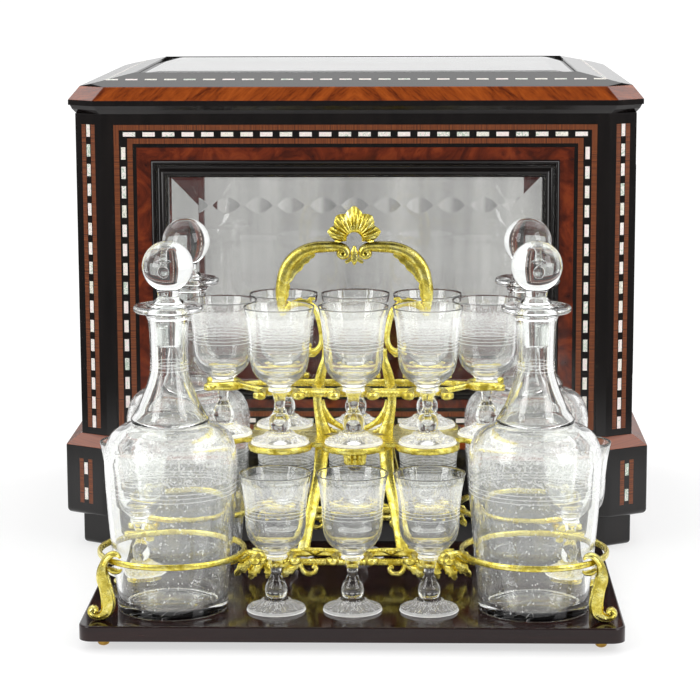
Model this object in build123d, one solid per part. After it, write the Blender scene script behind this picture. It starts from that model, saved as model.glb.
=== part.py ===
from build123d import *
import math
import os

# A closed, glazed liqueur cabinet with the gilt carrying stand that lives in it set down in front.
# Millimetres. X runs to the right, Y from front to back, Z up from the table top.
# The origin is on the table, in the middle of the floor that the two together cover.

# Driving sizes of the cabinet's case
body_width = 366.0
body_depth = 281.0
cant_width = 18.0
cant_depth = 10.5
socle_height = 21.9
socle_width = 30.0
socle_round = 3.0
plinth_height = 46.5
plinth_proud = 10.0
plinth_round = 3.5
slope_height = 6.7
slope_land_width = 0.6
wall_height = 219.6
wall_thick = 18.0
post_face_width = 7.0
floor_thick = 12.0

# Inlaid bands of a wall, from its outer edge inwards
side_border_width = 8.2
top_border_width = 7.0
bottom_border_width = 4.5
stringing_width = 3.4
ebony_gap = 1.2
pearl_width = 3.0
fillet_width = 2.5
side_thuya_width = 9.3
top_thuya_width = 8.1
bottom_thuya_width = 5.8
inlay_thick = 1.0
cant_stringing = 3.3
cant_gap = 0.5
plinth_inlay_height = 30.0

# Window of a wall: ebonised moulding, bevelled pane and the bead behind it
moulding_width = 11.1
moulding_proud = 4.0
moulding_step = 2.0
moulding_step_in = 3.6
moulding_round = 1.4
rebate_width = 5.0
pane_play = 0.5
pane_depth = 6.0
pane_thick = 4.0
pane_edge_thick = 1.6
pane_bevel_width = 23.6

# Lid
lid_overhang = 4.5
lid_cant_width = 17.5
lid_cant_depth = 14.5
lid_rim_height = 8.8
lid_rim_lip = 3.4
lid_slope_height = 8.6
lid_slope_in = 7.0
lid_rail_width = 34.0
lid_hip_height = 7.6
lid_ledge_width = 5.0
lid_pane_thick = 4.0
lid_pane_edge_thick = 2.2
lid_pane_bevel_width = 14.5
lid_pearl_from_edge = 15.5

# Butt hinges at the back of the lid
hinge_from_side = 73.0
hinge_length = 40.0
hinge_leaf_width = 18.0
hinge_thick = 1.2
knuckle_radius = 2.5
knuckle_gap = 0.3
pin_radius = 1.1
pin_play = 0.05
screw_radius = 1.2
screw_head_radius = 2.3
screw_length = 7.0
screws_per_leaf = 3

# Tray of the stand and its place before the cabinet. It is as large as its decanters ask for.
tray_edge = 7.0
tray_thick = 9.0
tray_corner = 8.0
tray_edge_round = 1.0
tray_to_plinth = 32.4
stand_shift = 3.0
knob_radius = 3.5
knob_showing = 5.8
knob_flat = 0.2
stud_radius = 1.5

# Goblets
goblet_radius = 21.0
goblet_height = 81.6
goblet_wall = 1.5
goblet_gap = 2.5
upper_gap = 1.6
upper_row_gap = 10.0
upper_side_past = 35.4
lower_row_past = 6.5
lower_side_past = 27.5
side_seat_height = 5.4

# Decanters and their stoppers
decanter_gap = 1.4
ring_gap = 26.0
decanter_radius = 38.6
decanter_height = 178.6
decanter_wall = 2.6
decanter_base = 5.0
neck_bore = 8.2
stopper_ball = 14.75
stopper_rise = 22.4
stopper_play = 0.25
plug_length = 24.0
plug_taper = 1.2

# Gilt frame
ring_room = 2.4
ring_width = 2.5
ring_height = 3.0
ring_over_plate = 1.7
collar_width = 5.5
stem_room = 1.0
mouth_in = 0.4
plate_under = 0.3
plate_thick = 3.4
bar_width = 8.0
lobe_radius = 5.0
boss_radius = 2.6
seat_radius = 14.0
shelf_over_goblet = 9.9
shelf_thick = 3.0
shelf_edge = 1.4
side_lobe_in = 0.7
shelf_hole = 7.0
foot_bearing = 3.3
drop_radius = 3.0
drop_length = 15.5
leg_width = 6.2
leg_thick = 4.0
leg_foot_x = 29.5
leg_top_y = 20.0
leg_splay = 20.0
leg_turn = 27.0
leg_turn_past = 2.0
scroll_radius = 4.0
scroll_width = 3.0
scroll_thick = 5.0
foot_width = 5.0
foot_thick = 7.0
foot_past = 29.5
hook_gap = 0.3
post_x = 20.5
post_width = 6.2
post_thick = 4.0
gallery_bar = 5.0
lyre_radius = 19.0
lyre_width = 3.4
lyre_rise = 21.5
arch_x = 43.2
arch_rise = 93.2
arch_heading = 84.0
arch_width = 6.0
arch_thick = 6.0
volute_width = 4.6
shell_rise = 24.7
shell_hole = 5.1
shell_lobe = 4.4
shell_reach = 19.4
shell_thick = 3.5
shell_stem = 4.0
shell_drop = 12.5

overrun = 1.0

# Goblet and decanter outlines, as shares of their radius and height
goblet_outer_shares = [(0, 0), (0.82, 0), (0.84, 0.011), (0.81, 0.023), (0.63, 0.036), (0.46, 0.053),
                       (0.405, 0.068), (0.3, 0.079), (0.255, 0.09), (0.285, 0.108), (0.305, 0.135),
                       (0.296, 0.165), (0.245, 0.205), (0.195, 0.245), (0.16, 0.285), (0.154, 0.31),
                       (0.17, 0.335), (0.21, 0.358), (0.235, 0.38)]
merese_shares = [(0.324, 0.3824), (0.324, 0.3995)]
goblet_bowl_shares = [(0.29, 0.415), (0.43, 0.446), (0.59, 0.477), (0.757, 0.537), (0.843, 0.66),
                      (0.852, 0.735), (0.89, 0.86), (0.95, 0.95), (1, 1)]
goblet_foot_share, stem_top_share = 0.84, 0.235
decanter_body_shares = [(0.79, 0), (0.83, 0.012), (0.84, 0.052), (0.9, 0.18), (0.985, 0.405), (1, 0.488),
                        (0.985, 0.53), (0.945, 0.556), (0.88, 0.581), (0.63, 0.61)]
decanter_neck_shares = [(0.562, 0.638), (0.46, 0.677), (0.36, 0.728), (0.3, 0.77), (0.286, 0.8), (0.288, 0.88),
                        (0.315, 0.965), (0.49, 0.976), (0.52, 0.988), (0.5, 1)]
neck_root_share = 0.79

# Places worked out from the sizes above
lid_width, lid_depth = body_width + 2 * lid_overhang, body_depth + 2 * lid_overhang
hinge_x = body_width / 2 - hinge_from_side
cant_face = math.hypot(cant_width, cant_depth)
arris_x, arris_y = body_width / 2 - cant_width, body_depth / 2 - cant_depth
goblet_pitch = 2 * goblet_radius + goblet_gap
upper_pitch = 2 * goblet_radius + upper_gap
ring_inner = decanter_radius + ring_room
ring_outer = ring_inner + ring_width
decanter_x = goblet_pitch + goblet_radius + decanter_radius + decanter_gap
decanter_y = ring_outer + ring_gap / 2
tray_width, tray_depth = 2 * (decanter_x + ring_outer + tray_edge), 2 * (decanter_y + ring_outer)
lower_row, lower_side = decanter_y + lower_row_past, decanter_x + lower_side_past
upper_row, upper_side = goblet_radius + upper_row_gap / 2, upper_pitch + upper_side_past
merese_height = merese_shares[0][1] * goblet_height
notch_radius = stem_top_share * goblet_radius + stem_room
notch_mouth = notch_radius - mouth_in
collar_radius = notch_radius + collar_width
plate_top = merese_height - plate_under
ring_level = plate_top + ring_over_plate
shelf_lobe = goblet_foot_share * goblet_radius + shelf_edge
side_lobe = shelf_lobe - side_lobe_in
shelf_height = goblet_height + shelf_over_goblet
stopper_ball_height = decanter_height + stopper_rise
foot_y = decanter_y + foot_past
foot_hook_x = decanter_x + math.sqrt((ring_outer + hook_gap) ** 2 - foot_past ** 2)
lyre_level, arch_level = shelf_height + lyre_rise, shelf_height + arch_rise
shell_level = arch_level + shell_rise
plinth_level = socle_height
wall_level = plinth_level + plinth_height
seen_level = wall_level + slope_height
lid_level = wall_level + wall_height
lid_slope_level = lid_level + lid_rim_height
lid_hip_level = lid_slope_level + lid_slope_height
lid_top = lid_hip_level + lid_hip_height
floor_depth = tray_depth + tray_to_plinth + body_depth + 2 * plinth_proud
case_y = floor_depth / 2 - plinth_proud - body_depth / 2
stand_y = tray_depth / 2 - floor_depth / 2
tray_top = knob_showing + tray_thick
inner_width = body_width - 2 * wall_thick
inner_depth = body_depth - 2 * wall_thick
case_place = Pos(0, case_y, 0)
stand_place = Pos(stand_shift, stand_y, tray_top)

parts = {}


def keep(name, solids):
    """Put these solids in the node of this name, after any that it already holds."""
    found = solids.solids() if hasattr(solids, "solids") else [s for piece in solids for s in piece.solids()]
    parts.setdefault(name, []).extend(found)


def canted(width, depth, cut_x, cut_y):
    """Outline of a rectangle whose corners are cut off."""
    x, y = width / 2, depth / 2
    corners = [(x, y - cut_y), (x - cut_x, y), (cut_x - x, y), (-x, y - cut_y)]
    return Polygon(*corners, *[(-u, -v) for u, v in corners], align=None)


def grown(grow):
    """The case's outline after every side has moved out evenly."""
    lean_x, lean_y = cant_depth / cant_face, cant_width / cant_face
    cut_x = cant_width + grow * (1 - (1 - lean_y) / lean_x)
    cut_y = cant_depth + grow * (1 - (1 - lean_x) / lean_y)
    return canted(body_width + 2 * grow, body_depth + 2 * grow, cut_x, cut_y)


def lid_outline(inset):
    """The lid's outline after every side has moved in evenly."""
    return canted(lid_width - 2 * inset, lid_depth - 2 * inset, lid_cant_width, lid_cant_depth)


def raised(outline, low, high):
    """Straight-sided block on an outline, from one level to another."""
    return extrude(Pos(0, 0, low) * outline, amount=high - low)


def tapered(low_outline, low, high_outline, high):
    """Block that changes evenly from one outline to another of as many corners."""
    return loft([Pos(0, 0, low) * low_outline, Pos(0, 0, high) * high_outline], ruled=True)


def turned(outline):
    """Solid turned about the vertical from (radius, height) points."""
    return revolve(Plane.XZ * Polygon(*outline, align=None), axis=Axis.Z)


def bar(start, end, width):
    """Flat bar with round ends, seen from above."""
    run = Vector(*end) - Vector(*start)
    middle = (Vector(*start) + Vector(*end)) / 2
    straight = Pos(middle.X, middle.Y) * Rot(0, 0, math.degrees(math.atan2(run.Y, run.X)))
    return (straight * Rectangle(run.length, width) + Pos(*start) * Circle(width / 2)
            + Pos(*end) * Circle(width / 2))


def ribbon(start, heading, bends, width):
    """Strip of one width along a chain of tangent arcs, each a radius and a turn."""
    point, way = Vector(*start), Vector(1, 0).rotate(Axis.Z, heading)
    edges = []
    for radius, turn in bends:
        arc = JernArc(point, way, radius, turn)
        edges += arc.edges()
        point, way = arc @ 1, arc % 1
    return trace(Wire(edges), width)


def upright(outline, thick):
    """An outline drawn as X and Z, made a casting of this thickness about the plane Y = 0."""
    return extrude(Plane.XZ * outline, amount=thick / 2, both=True)


def both_sides(solid):
    """The solid and its mirror image to the left."""
    return [solid, mirror(solid, about=Plane.YZ)]


def four_corners(solid):
    """The solid and its three mirror images in the stand's other corners."""
    return [piece for half in both_sides(solid) for piece in (half, mirror(half, about=Plane.XZ))]


# Socle, plinth and the floor board that the plinth closes in
socle = raised(grown(0), 0, plinth_level)
socle = fillet(socle.faces().sort_by(Axis.Z)[0].outer_wire().edges(), socle_round)
socle -= raised(Rectangle(body_width - 2 * socle_width, body_depth - 2 * socle_width), -overrun,
                plinth_level + overrun)
keep("base_socle", case_place * socle)

inner = Rectangle(inner_width, inner_depth)
plinth = raised(grown(plinth_proud), plinth_level, wall_level)
plinth = fillet(plinth.faces().sort_by(Axis.Z)[0].outer_wire().edges(), plinth_round)
plinth -= raised(inner, plinth_level - overrun, wall_level + overrun)

slope = tapered(grown(plinth_proud), wall_level, grown(slope_land_width), seen_level)
slope -= raised(grown(0), wall_level - overrun, seen_level + overrun)
keep("plinth_slope", case_place * slope)
keep("floor_board", case_place * raised(inner, plinth_level, plinth_level + floor_thick))


# Walls: every outline is (half width, low, high), and the outer face is at Y = 0
def inset(outline, side, top, bottom):
    half, low, high = outline
    return half - side, low + bottom, high - top


def board(outline, front, back):
    half, low, high = outline
    return Pos(0, (front + back) / 2, (low + high) / 2) * Box(2 * half, back - front, high - low)


def frame(outer, inner_edge, front, back):
    return board(outer, front, back) - board(inner_edge, front - overrun, back + overrun)


def bevelled_pane(outline, front, thick, edge, bevel):
    """Plate glass whose front face slopes back to a thin edge."""
    back = front + thick
    half, low, high = outline
    width, height = 2 * half, high - low
    face = Plane((0, 0, (low + high) / 2), x_dir=(1, 0, 0), z_dir=(0, -1, 0))
    rim = face.offset(edge - back) * Rectangle(width, height)
    flat = face.offset(-front) * Rectangle(width - 2 * bevel, height - 2 * bevel)
    return board(outline, back - edge, back) + loft([rim, flat], ruled=True)


def wall(arris):
    """One glazed wall, its arris this far from its middle, as a table of its pieces."""
    pieces = {}
    edge = (arris, seen_level, lid_level)
    outer_line = inset(edge, side_border_width, top_border_width, bottom_border_width)
    pearl_outer = inset(outer_line, *[stringing_width + ebony_gap] * 3)
    pearl_inner = inset(pearl_outer, *[pearl_width] * 3)
    inner_line = inset(pearl_inner, *[ebony_gap] * 3)
    fillet_edge = inset(inner_line, *[stringing_width] * 3)
    thuya_edge = inset(fillet_edge, *[fillet_width] * 3)
    moulding_edge = inset(thuya_edge, side_thuya_width, top_thuya_width, bottom_thuya_width)
    sight = inset(moulding_edge, *[moulding_width] * 3)
    opening = inset(sight, *[-rebate_width] * 3)

    stringing = [frame(outer_line, inset(outer_line, *[stringing_width] * 3), 0, inlay_thick),
                 frame(inner_line, fillet_edge, 0, inlay_thick)]
    pearl = frame(pearl_outer, pearl_inner, 0, inlay_thick)
    veneer = frame(thuya_edge, moulding_edge, 0, inlay_thick)

    carcase = frame((arris - post_face_width, wall_level, lid_level), opening, 0, wall_thick)
    pieces["frame"] = carcase - stringing - [pearl, veneer]
    pieces["stringing"] = stringing
    pieces["pearl"] = [pearl]
    pieces["veneer"] = [veneer]

    sloped = (pane_thick - pane_edge_thick) * (rebate_width - pane_play) / pane_bevel_width
    lip_back = pane_depth + pane_thick - pane_edge_thick - sloped
    broad = frame(moulding_edge, sight, -moulding_step, 0)
    narrow = frame(inset(moulding_edge, *[moulding_step_in] * 3), sight, -moulding_proud, 0)
    moulding = broad + narrow + frame(opening, sight, 0, lip_back)
    moulding = fillet(moulding.faces().sort_by(Axis.Y)[0].edges(), moulding_round)
    pieces["moulding"] = [moulding]
    pieces["pane"] = [bevelled_pane(inset(opening, *[pane_play] * 3), pane_depth, pane_thick,
                                    pane_edge_thick, pane_bevel_width)]
    pieces["bead"] = [frame(opening, sight, pane_depth + pane_thick, wall_thick)]
    return pieces


def place_wall(x, y, turn):
    return case_place * Pos(x, y, 0) * Rot(0, 0, turn)


node_of = {"stringing": "kingwood_stringing", "pearl": "pearl_banding", "veneer": "thuya_veneer",
           "moulding": "window_mouldings", "pane": "window_panes", "bead": "glazing_beads"}
sides = [("front", arris_x, 0, -body_depth / 2, 0), ("back", arris_x, 0, body_depth / 2, 180),
         ("left", arris_y, -body_width / 2, 0, -90), ("right", arris_y, body_width / 2, 0, 90)]
back_frame = None
for side, arris, x, y, turn in sides:
    pieces = wall(arris)
    spot = place_wall(x, y, turn)
    for kind, node in node_of.items():
        keep(node, [spot * piece for piece in pieces[kind]])
    if side == "back":
        back_frame = spot * pieces["frame"]
    else:
        keep("wall_frames", spot * pieces["frame"])

# Corner posts and their canted inlay, which the plinth repeats below
lean = math.degrees(math.atan2(cant_depth, cant_width))
cant_low, cant_high = seen_level + bottom_border_width, lid_level - top_border_width
plinth_middle = plinth_level + plinth_height / 2
post_inner_x, post_inner_y = body_width / 2 - wall_thick, body_depth / 2 - wall_thick
post_edge_x, post_edge_y = arris_x - post_face_width, arris_y - post_face_width
post_outline = Polygon((body_width / 2, arris_y), (arris_x, body_depth / 2),
                       (post_edge_x, body_depth / 2), (post_edge_x, post_inner_y),
                       (post_inner_x, post_inner_y), (post_inner_x, post_edge_y),
                       (body_width / 2, post_edge_y), align=None)
post = raised(post_outline, wall_level, lid_level)


def cant_inlay(proud, low, high):
    """The two kingwood lines of a back right cant and the pearl line between them."""
    across = Rot(0, 0, 180 - lean)
    middle = Pos(body_width / 2 - cant_width / 2, body_depth / 2 - cant_depth / 2, 0)
    spot = middle * across * Pos(0, -proud, 0)
    step = pearl_width / 2 + cant_gap + cant_stringing / 2
    lines = [spot * Pos(shift, 0, 0) * board((cant_stringing / 2, low, high), 0, inlay_thick)
             for shift in (-step, step)]
    return lines, spot * board((pearl_width / 2, low, high), 0, inlay_thick)


post_lines, post_pearl = cant_inlay(0, cant_low, cant_high)
foot_lines, foot_pearl = cant_inlay(plinth_proud, plinth_middle - plinth_inlay_height / 2,
                                    plinth_middle + plinth_inlay_height / 2)
for piece in four_corners(post - post_lines - [post_pearl]):
    keep("corner_posts", case_place * piece)
for line in post_lines + foot_lines:
    keep("kingwood_stringing", [case_place * piece for piece in four_corners(line)])
for line in (post_pearl, foot_pearl):
    keep("pearl_banding", [case_place * piece for piece in four_corners(line)])
for line in foot_lines + [foot_pearl]:
    plinth -= four_corners(line)
keep("plinth", case_place * plinth)

# Lid: moulded rim, kingwood slope, hipped rails round the pane, and a pearl line in the rails
lip_outline = lid_outline(0)
rim_foot = lid_outline((lid_width - body_width) / 2)
lip_level = lid_slope_level - lid_rim_lip
cove_outline = lid_outline((lid_width - body_width) / 4)
rim = (tapered(rim_foot, lid_level, cove_outline, (lid_level + lip_level) / 2)
       + tapered(cove_outline, (lid_level + lip_level) / 2, lid_outline(overrun), lip_level)
       + raised(lip_outline, lip_level, lid_slope_level))
rim -= raised(inner, lid_level - overrun, lid_slope_level + overrun)
slope_top = lid_outline(lid_slope_in)
lid_slope = tapered(lip_outline, lid_slope_level, slope_top, lid_hip_level)
lid_slope -= raised(inner, lid_slope_level - overrun, lid_hip_level + overrun)

rail_width, rail_depth = lid_width - 2 * lid_slope_in, lid_depth - 2 * lid_slope_in
glass_width, glass_depth = rail_width - 2 * lid_rail_width, rail_depth - 2 * lid_rail_width
hip = tapered(Rectangle(rail_width, rail_depth), lid_hip_level, Rectangle(glass_width, glass_depth), lid_top)
hip &= raised(slope_top, lid_hip_level, lid_top)
rails = hip - raised(Rectangle(glass_width - 2 * lid_ledge_width, glass_depth - 2 * lid_ledge_width),
                     lid_hip_level - overrun, lid_top + overrun)
rails -= raised(Rectangle(glass_width, glass_depth), lid_top - lid_pane_thick, lid_top + overrun)


def rail_ring(inset_by):
    return Rectangle(rail_width - 2 * inset_by, rail_depth - 2 * inset_by)


band_prism = (raised(rail_ring(lid_pearl_from_edge), lid_hip_level, lid_top)
              - raised(rail_ring(lid_pearl_from_edge + pearl_width), lid_hip_level, lid_top))
lid_pearl = (hip & band_prism) - Pos(0, 0, -inlay_thick) * hip
rails -= lid_pearl
lid_pane_low = lid_top - lid_pane_thick
lid_pane_outline = Rectangle(glass_width - 2 * pane_play, glass_depth - 2 * pane_play)
lid_pane_flat = Rectangle(glass_width - 2 * lid_pane_bevel_width, glass_depth - 2 * lid_pane_bevel_width)
lid_glass = (raised(lid_pane_outline, lid_pane_low, lid_pane_low + lid_pane_edge_thick)
             + tapered(lid_pane_outline, lid_pane_low + lid_pane_edge_thick, lid_pane_flat, lid_top))

# Butt hinges: the axis stands just behind the lid, level with the joint below it
axis_y = lid_depth / 2 + hinge_thick / 5
knuckle_length = (hinge_length - 2 * knuckle_gap) / 3
lengthwise = Rot(0, 90, 0)


def knuckle(x):
    return Pos(x, axis_y, lid_level) * lengthwise * Cylinder(knuckle_radius, knuckle_length)


def leaf(low, stations):
    """One hinge leaf, let in from this level up, with a knuckle at each station."""
    reach = axis_y - knuckle_radius - knuckle_gap
    flap = (Pos(0, reach - hinge_leaf_width / 2, low + hinge_thick / 2)
            * Box(hinge_length, hinge_leaf_width, hinge_thick))
    for x in stations:
        flap += Pos(x, (reach + axis_y) / 2 - hinge_thick, low + hinge_thick / 2) * Box(
            knuckle_length, axis_y - reach + 2 * hinge_thick, hinge_thick)
        flap += knuckle(x)
    bore = Pos(0, axis_y, lid_level) * lengthwise * Cylinder(pin_radius + pin_play, 2 * hinge_length)
    return flap - bore


def leaf_screw(x, head_level, down):
    """Countersunk screw whose head lies flush with one face of its leaf."""
    screw = (Pos(0, 0, -hinge_thick / 2) * Cone(screw_radius, screw_head_radius, hinge_thick)
             + Pos(0, 0, -screw_length / 2) * Cylinder(screw_radius, screw_length))
    return Pos(x, screw_y, head_level) * (screw if down else Rot(180, 0, 0) * screw)


end_station = knuckle_length + knuckle_gap
screw_y = axis_y - knuckle_radius - knuckle_gap - hinge_leaf_width / 2
screw_pitch = hinge_length / screws_per_leaf
screw_places = [(i - (screws_per_leaf - 1) / 2) * screw_pitch for i in range(screws_per_leaf)]
hinge_pin = (Pos(0, axis_y, lid_level) * lengthwise * Cylinder(pin_radius, hinge_length + 2 * knuckle_gap)
             + [Pos(way * (hinge_length / 2 + knuckle_gap + hinge_thick / 2), axis_y, lid_level) * lengthwise
                * Cylinder(knuckle_radius * 3 / 4, hinge_thick) for way in (-1, 1)])
for x in (-hinge_x, hinge_x):
    at = Pos(x, 0, 0)
    case_screws = [leaf_screw(i, lid_level, True) for i in screw_places]
    lid_screws = [leaf_screw(i, lid_level, False) for i in screw_places]
    case_leaf = at * leaf(lid_level - hinge_thick, (-end_station, end_station))
    lid_leaf = at * leaf(lid_level, (0,))
    case_screws = [at * screw for screw in case_screws]
    lid_screws = [at * screw for screw in lid_screws]
    for screw in case_screws:
        back_frame -= case_place * screw
    back_frame -= case_place * case_leaf
    rim = rim - lid_screws - lid_leaf
    keep("case_hinge_leaves", case_place * (case_leaf - case_screws))
    keep("lid_hinge_leaves", case_place * (lid_leaf - lid_screws))
    keep("case_hinge_screws", [case_place * screw for screw in case_screws])
    keep("lid_hinge_screws", [case_place * screw for screw in lid_screws])
    keep("hinge_pins", case_place * at * hinge_pin)
keep("wall_frames", back_frame)
keep("lid_rim", case_place * rim)
keep("lid_slope", case_place * lid_slope)
keep("lid_rails", case_place * rails)
keep("lid_pearl_banding", case_place * lid_pearl)
keep("lid_pane", case_place * lid_glass)

# Goblets: outline from the foot up the outside, over the merese and down the inside
def goblet():
    outer = [(r * goblet_radius, h * goblet_height) for r, h in goblet_outer_shares]
    merese = [(r * goblet_radius, h * goblet_height) for r, h in merese_shares]
    bowl = [(r * goblet_radius, h * goblet_height) for r, h in goblet_bowl_shares]
    inside = [(r - goblet_wall, h + goblet_wall * (1 - h / goblet_height)) for r, h in reversed(bowl[2:])]
    return turned(outer + merese + bowl + inside + [(0, bowl[2][1])])


lower_places = [(row * goblet_pitch, side * lower_row) for side in (-1, 1) for row in (-1, 0, 1)]
lower_places += [(-lower_side, 0), (lower_side, 0)]
upper_places = [(row * upper_pitch, side * upper_row) for side in (-1, 1) for row in (-1, 0, 1)]
upper_places += [(-upper_side, 0), (upper_side, 0)]
for number, (x, y) in enumerate(lower_places, 1):
    seat = 0 if y else side_seat_height
    keep(f"goblet_lower_{number}", stand_place * Pos(x, y, seat) * goblet())
for number, (x, y) in enumerate(upper_places, 1):
    keep(f"goblet_upper_{number}", stand_place * Pos(x, y, shelf_height) * goblet())

# Decanters and stoppers
def decanter():
    body = [(r * decanter_radius, h * decanter_height) for r, h in decanter_body_shares]
    neck = [(r * decanter_radius, h * decanter_height) for r, h in decanter_neck_shares]
    bore = [(neck_bore, decanter_height), (neck_bore, neck_root_share * decanter_height)]
    hollow = [(r - decanter_wall, h - decanter_wall / 2) for r, h in reversed(body[3:] + neck[:2])]
    floor = [(body[2][0] - decanter_wall, decanter_base), (0, decanter_base)]
    return turned([(0, 0)] + body + neck + bore + hollow + floor)


def stopper():
    """Ball with a ground plug, which hangs from the mouth of the neck on a small collar."""
    collar_low, collar_high = decanter_height, stopper_ball_height - stopper_ball * 7 / 8
    plug_radius = neck_bore - stopper_play
    collar_foot = stopper_ball / 2 + plug_taper
    stem = turned([(0, collar_low - plug_length), (plug_radius - plug_taper, collar_low - plug_length),
                   (plug_radius, collar_low), (collar_foot, collar_low),
                   (collar_foot - plug_taper, collar_high), (0, collar_high)])
    return stem + Pos(0, 0, stopper_ball_height) * Sphere(stopper_ball)


corners = {"front_left": (-1, -1), "front_right": (1, -1), "back_left": (-1, 1), "back_right": (1, 1)}
for corner, (across, along) in corners.items():
    spot = stand_place * Pos(across * decanter_x, along * decanter_y, 0)
    keep(f"decanter_{corner}", spot * decanter())
    keep(f"stopper_{corner}", spot * stopper())

# Tray on ball knobs, whose studs come up through it into the corner feet
knob_spot = Pos(foot_hook_x + foot_width, foot_y, 0)
knob_ball = Pos(0, 0, knob_radius - knob_flat - tray_top) * Sphere(knob_radius)
knob_room = Pos(0, 0, -tray_top + knob_showing / 2) * Box(4 * knob_radius, 4 * knob_radius, knob_showing)
stud = Pos(0, 0, -tray_thick / 2) * Cylinder(stud_radius, tray_thick)
knob = (knob_ball & knob_room) + stud
tray = extrude(RectangleRounded(tray_width, tray_depth, tray_corner), amount=-tray_thick)
tray = fillet(tray.faces().sort_by(Axis.Z)[-1].edges(), tray_edge_round)
tray -= four_corners(knob_spot * stud)
keep("tray", stand_place * tray)
keep("tray_knobs", [stand_place * piece for piece in four_corners(knob_spot * knob)])

# Decanter rings
ring = extrude(Circle(ring_outer) - Circle(ring_inner), amount=ring_height)
for across, along in corners.values():
    keep("decanter_rings", stand_place * Pos(across * decanter_x, along * decanter_y, ring_level) * ring)


# Corner feet: a strap that hooks over the ring, swells outwards and ends in a scroll on the tray.
# Each bend's radius is a share of the ring's height, with its turn in degrees.
ring_top = ring_level + ring_height
hook_radius_shares = [(0.081, -150), (0.378, -30), (0.432, -25), (0.378, 95), (0.122, 200)]
hook_bends = [(share * ring_top, turn) for share, turn in hook_radius_shares]
hook = ribbon((foot_hook_x, ring_top - overrun), 80, hook_bends, foot_width)
foot = Pos(0, foot_y, 0) * upright(hook, foot_thick)
foot &= Pos(0, foot_y, ring_top) * Box(2 * tray_width, 2 * foot_thick, 2 * ring_top)
foot -= Pos(decanter_x, decanter_y, 0) * Cylinder(ring_outer, 2 * ring_top)
for piece in four_corners(foot):
    keep("corner_feet", stand_place * piece)


# Plates with open collars, in which the goblets' stems stand
def collars(places):
    return [Pos(x, y) * Circle(collar_radius) for x, y in places]


def notches(places):
    """Round notches at these places, each open away from the middle of the stand."""
    cuts = []
    for x, y in places:
        outward = Vector(0, y).normalized() if y else Vector(x, 0).normalized()
        end = Vector(x, y) + outward * 2 * collar_radius
        cuts += [Pos(x, y) * Circle(notch_radius), bar((x, y), (end.X, end.Y), 2 * notch_mouth)]
    return cuts


plate_low = plate_top - plate_thick
row_spine = lower_row - collar_radius + bar_width / 8
shelf_low = shelf_height - shelf_thick
leg_foot_y = row_spine - leg_thick / 3
leg_rise, leg_run = shelf_low - plate_top, leg_foot_y - leg_top_y
bow_radius = math.hypot(leg_rise, leg_run) / math.radians(leg_turn - leg_turn_past)
front_places = [place for place in lower_places if place[1] < 0]
lobe_x = decanter_x - ring_outer - boss_radius / 4
lower = bar((-lobe_x, -row_spine), (lobe_x, -row_spine), bar_width)
for shape in collars(front_places):
    lower += shape
for way in (-1, 1):
    lower += bar((way * lobe_x, -decanter_y), (way * (lobe_x - lobe_radius), -row_spine), 2 * lobe_radius)
for shape in notches(front_places):
    lower -= shape
gallery_front = extrude(Pos(0, 0, plate_low) * lower, amount=plate_thick)
for way in (-1, 1):
    boss_spot = Pos(way * (lobe_x + boss_radius / 2), -decanter_y, (plate_top + ring_level) / 2)
    gallery_front += boss_spot * Cylinder(boss_radius, ring_level - plate_top)
    curl_bends = [(bow_radius / 4, way * 12), (scroll_radius, way * 250)]
    curl = ribbon((way * goblet_pitch / 2, plate_low + scroll_width), -90, curl_bends, scroll_width)
    gallery_front += Pos(0, -row_spine, 0) * upright(curl, scroll_thick)
for piece in (gallery_front, mirror(gallery_front, about=Plane.XZ)):
    keep("lower_galleries", stand_place * piece)

# Side collars under the rings, with a raised seat below each
side_spot = (lower_side, 0)
side_bar_x = lower_side - collar_radius + bar_width / 4
under_ring = math.sqrt(((ring_outer + ring_inner) / 2) ** 2 - (side_bar_x - decanter_x) ** 2)
side_reach = decanter_y - under_ring
side = bar((side_bar_x, -side_reach), (side_bar_x, side_reach), bar_width * 3 / 4)
side += Pos(*side_spot) * Circle(collar_radius)
for shape in notches([side_spot]):
    side -= shape
side_collar = extrude(Pos(0, 0, ring_level - plate_thick) * side, amount=plate_thick)
keep("side_collars", [stand_place * piece for piece in both_sides(side_collar)])
neck_share = 0.8
seat_outline = [(0, 0), (seat_radius, 0), (seat_radius * neck_share, side_seat_height / 2),
                (seat_radius, side_seat_height), (0, side_seat_height)]
seat = Pos(lower_side, 0, 0) * turned(seat_outline)
keep("side_seats", [stand_place * piece for piece in both_sides(seat)])

# Shelf of the upper goblets
shelf = Rectangle(2 * upper_pitch, 2 * upper_row)
for x, y in upper_places:
    shelf += Pos(x, y) * Circle(shelf_lobe if y else side_lobe)
shelf += bar((-upper_side, 0), (upper_side, 0), 3 * bar_width)
for x, y in upper_places:
    shelf -= Pos(x, y) * Circle(goblet_foot_share * goblet_radius - foot_bearing)
for way in (-1, 1):
    shelf -= Pos(way * upper_pitch, 0) * Circle(shelf_hole)
shelf_solid = extrude(Pos(0, 0, shelf_low) * shelf, amount=shelf_thick)
shelf_solid += Pos(0, 0, shelf_low - drop_length / 2) * Cylinder(drop_radius, drop_length)
shelf_solid += Pos(0, 0, shelf_low - drop_length) * Sphere(drop_radius * 5 / 3)
keep("goblet_shelf", stand_place * shelf_solid)

# Four bowed legs carry the shelf from the lower galleries
leg_strip = ribbon((leg_foot_x, -leg_thick), 90 + leg_splay, [(bow_radius, -leg_turn)], leg_width)
leg = Rot(math.degrees(math.atan2(leg_run, leg_rise)), 0, 0) * upright(leg_strip, leg_thick)
leg = Pos(0, leg_foot_y, plate_top) * leg
leg &= Pos(0, 0, plate_top + leg_rise / 2) * Box(2 * tray_width, 2 * tray_depth, leg_rise)
keep("shelf_legs", [stand_place * piece for piece in four_corners(leg)])

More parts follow.
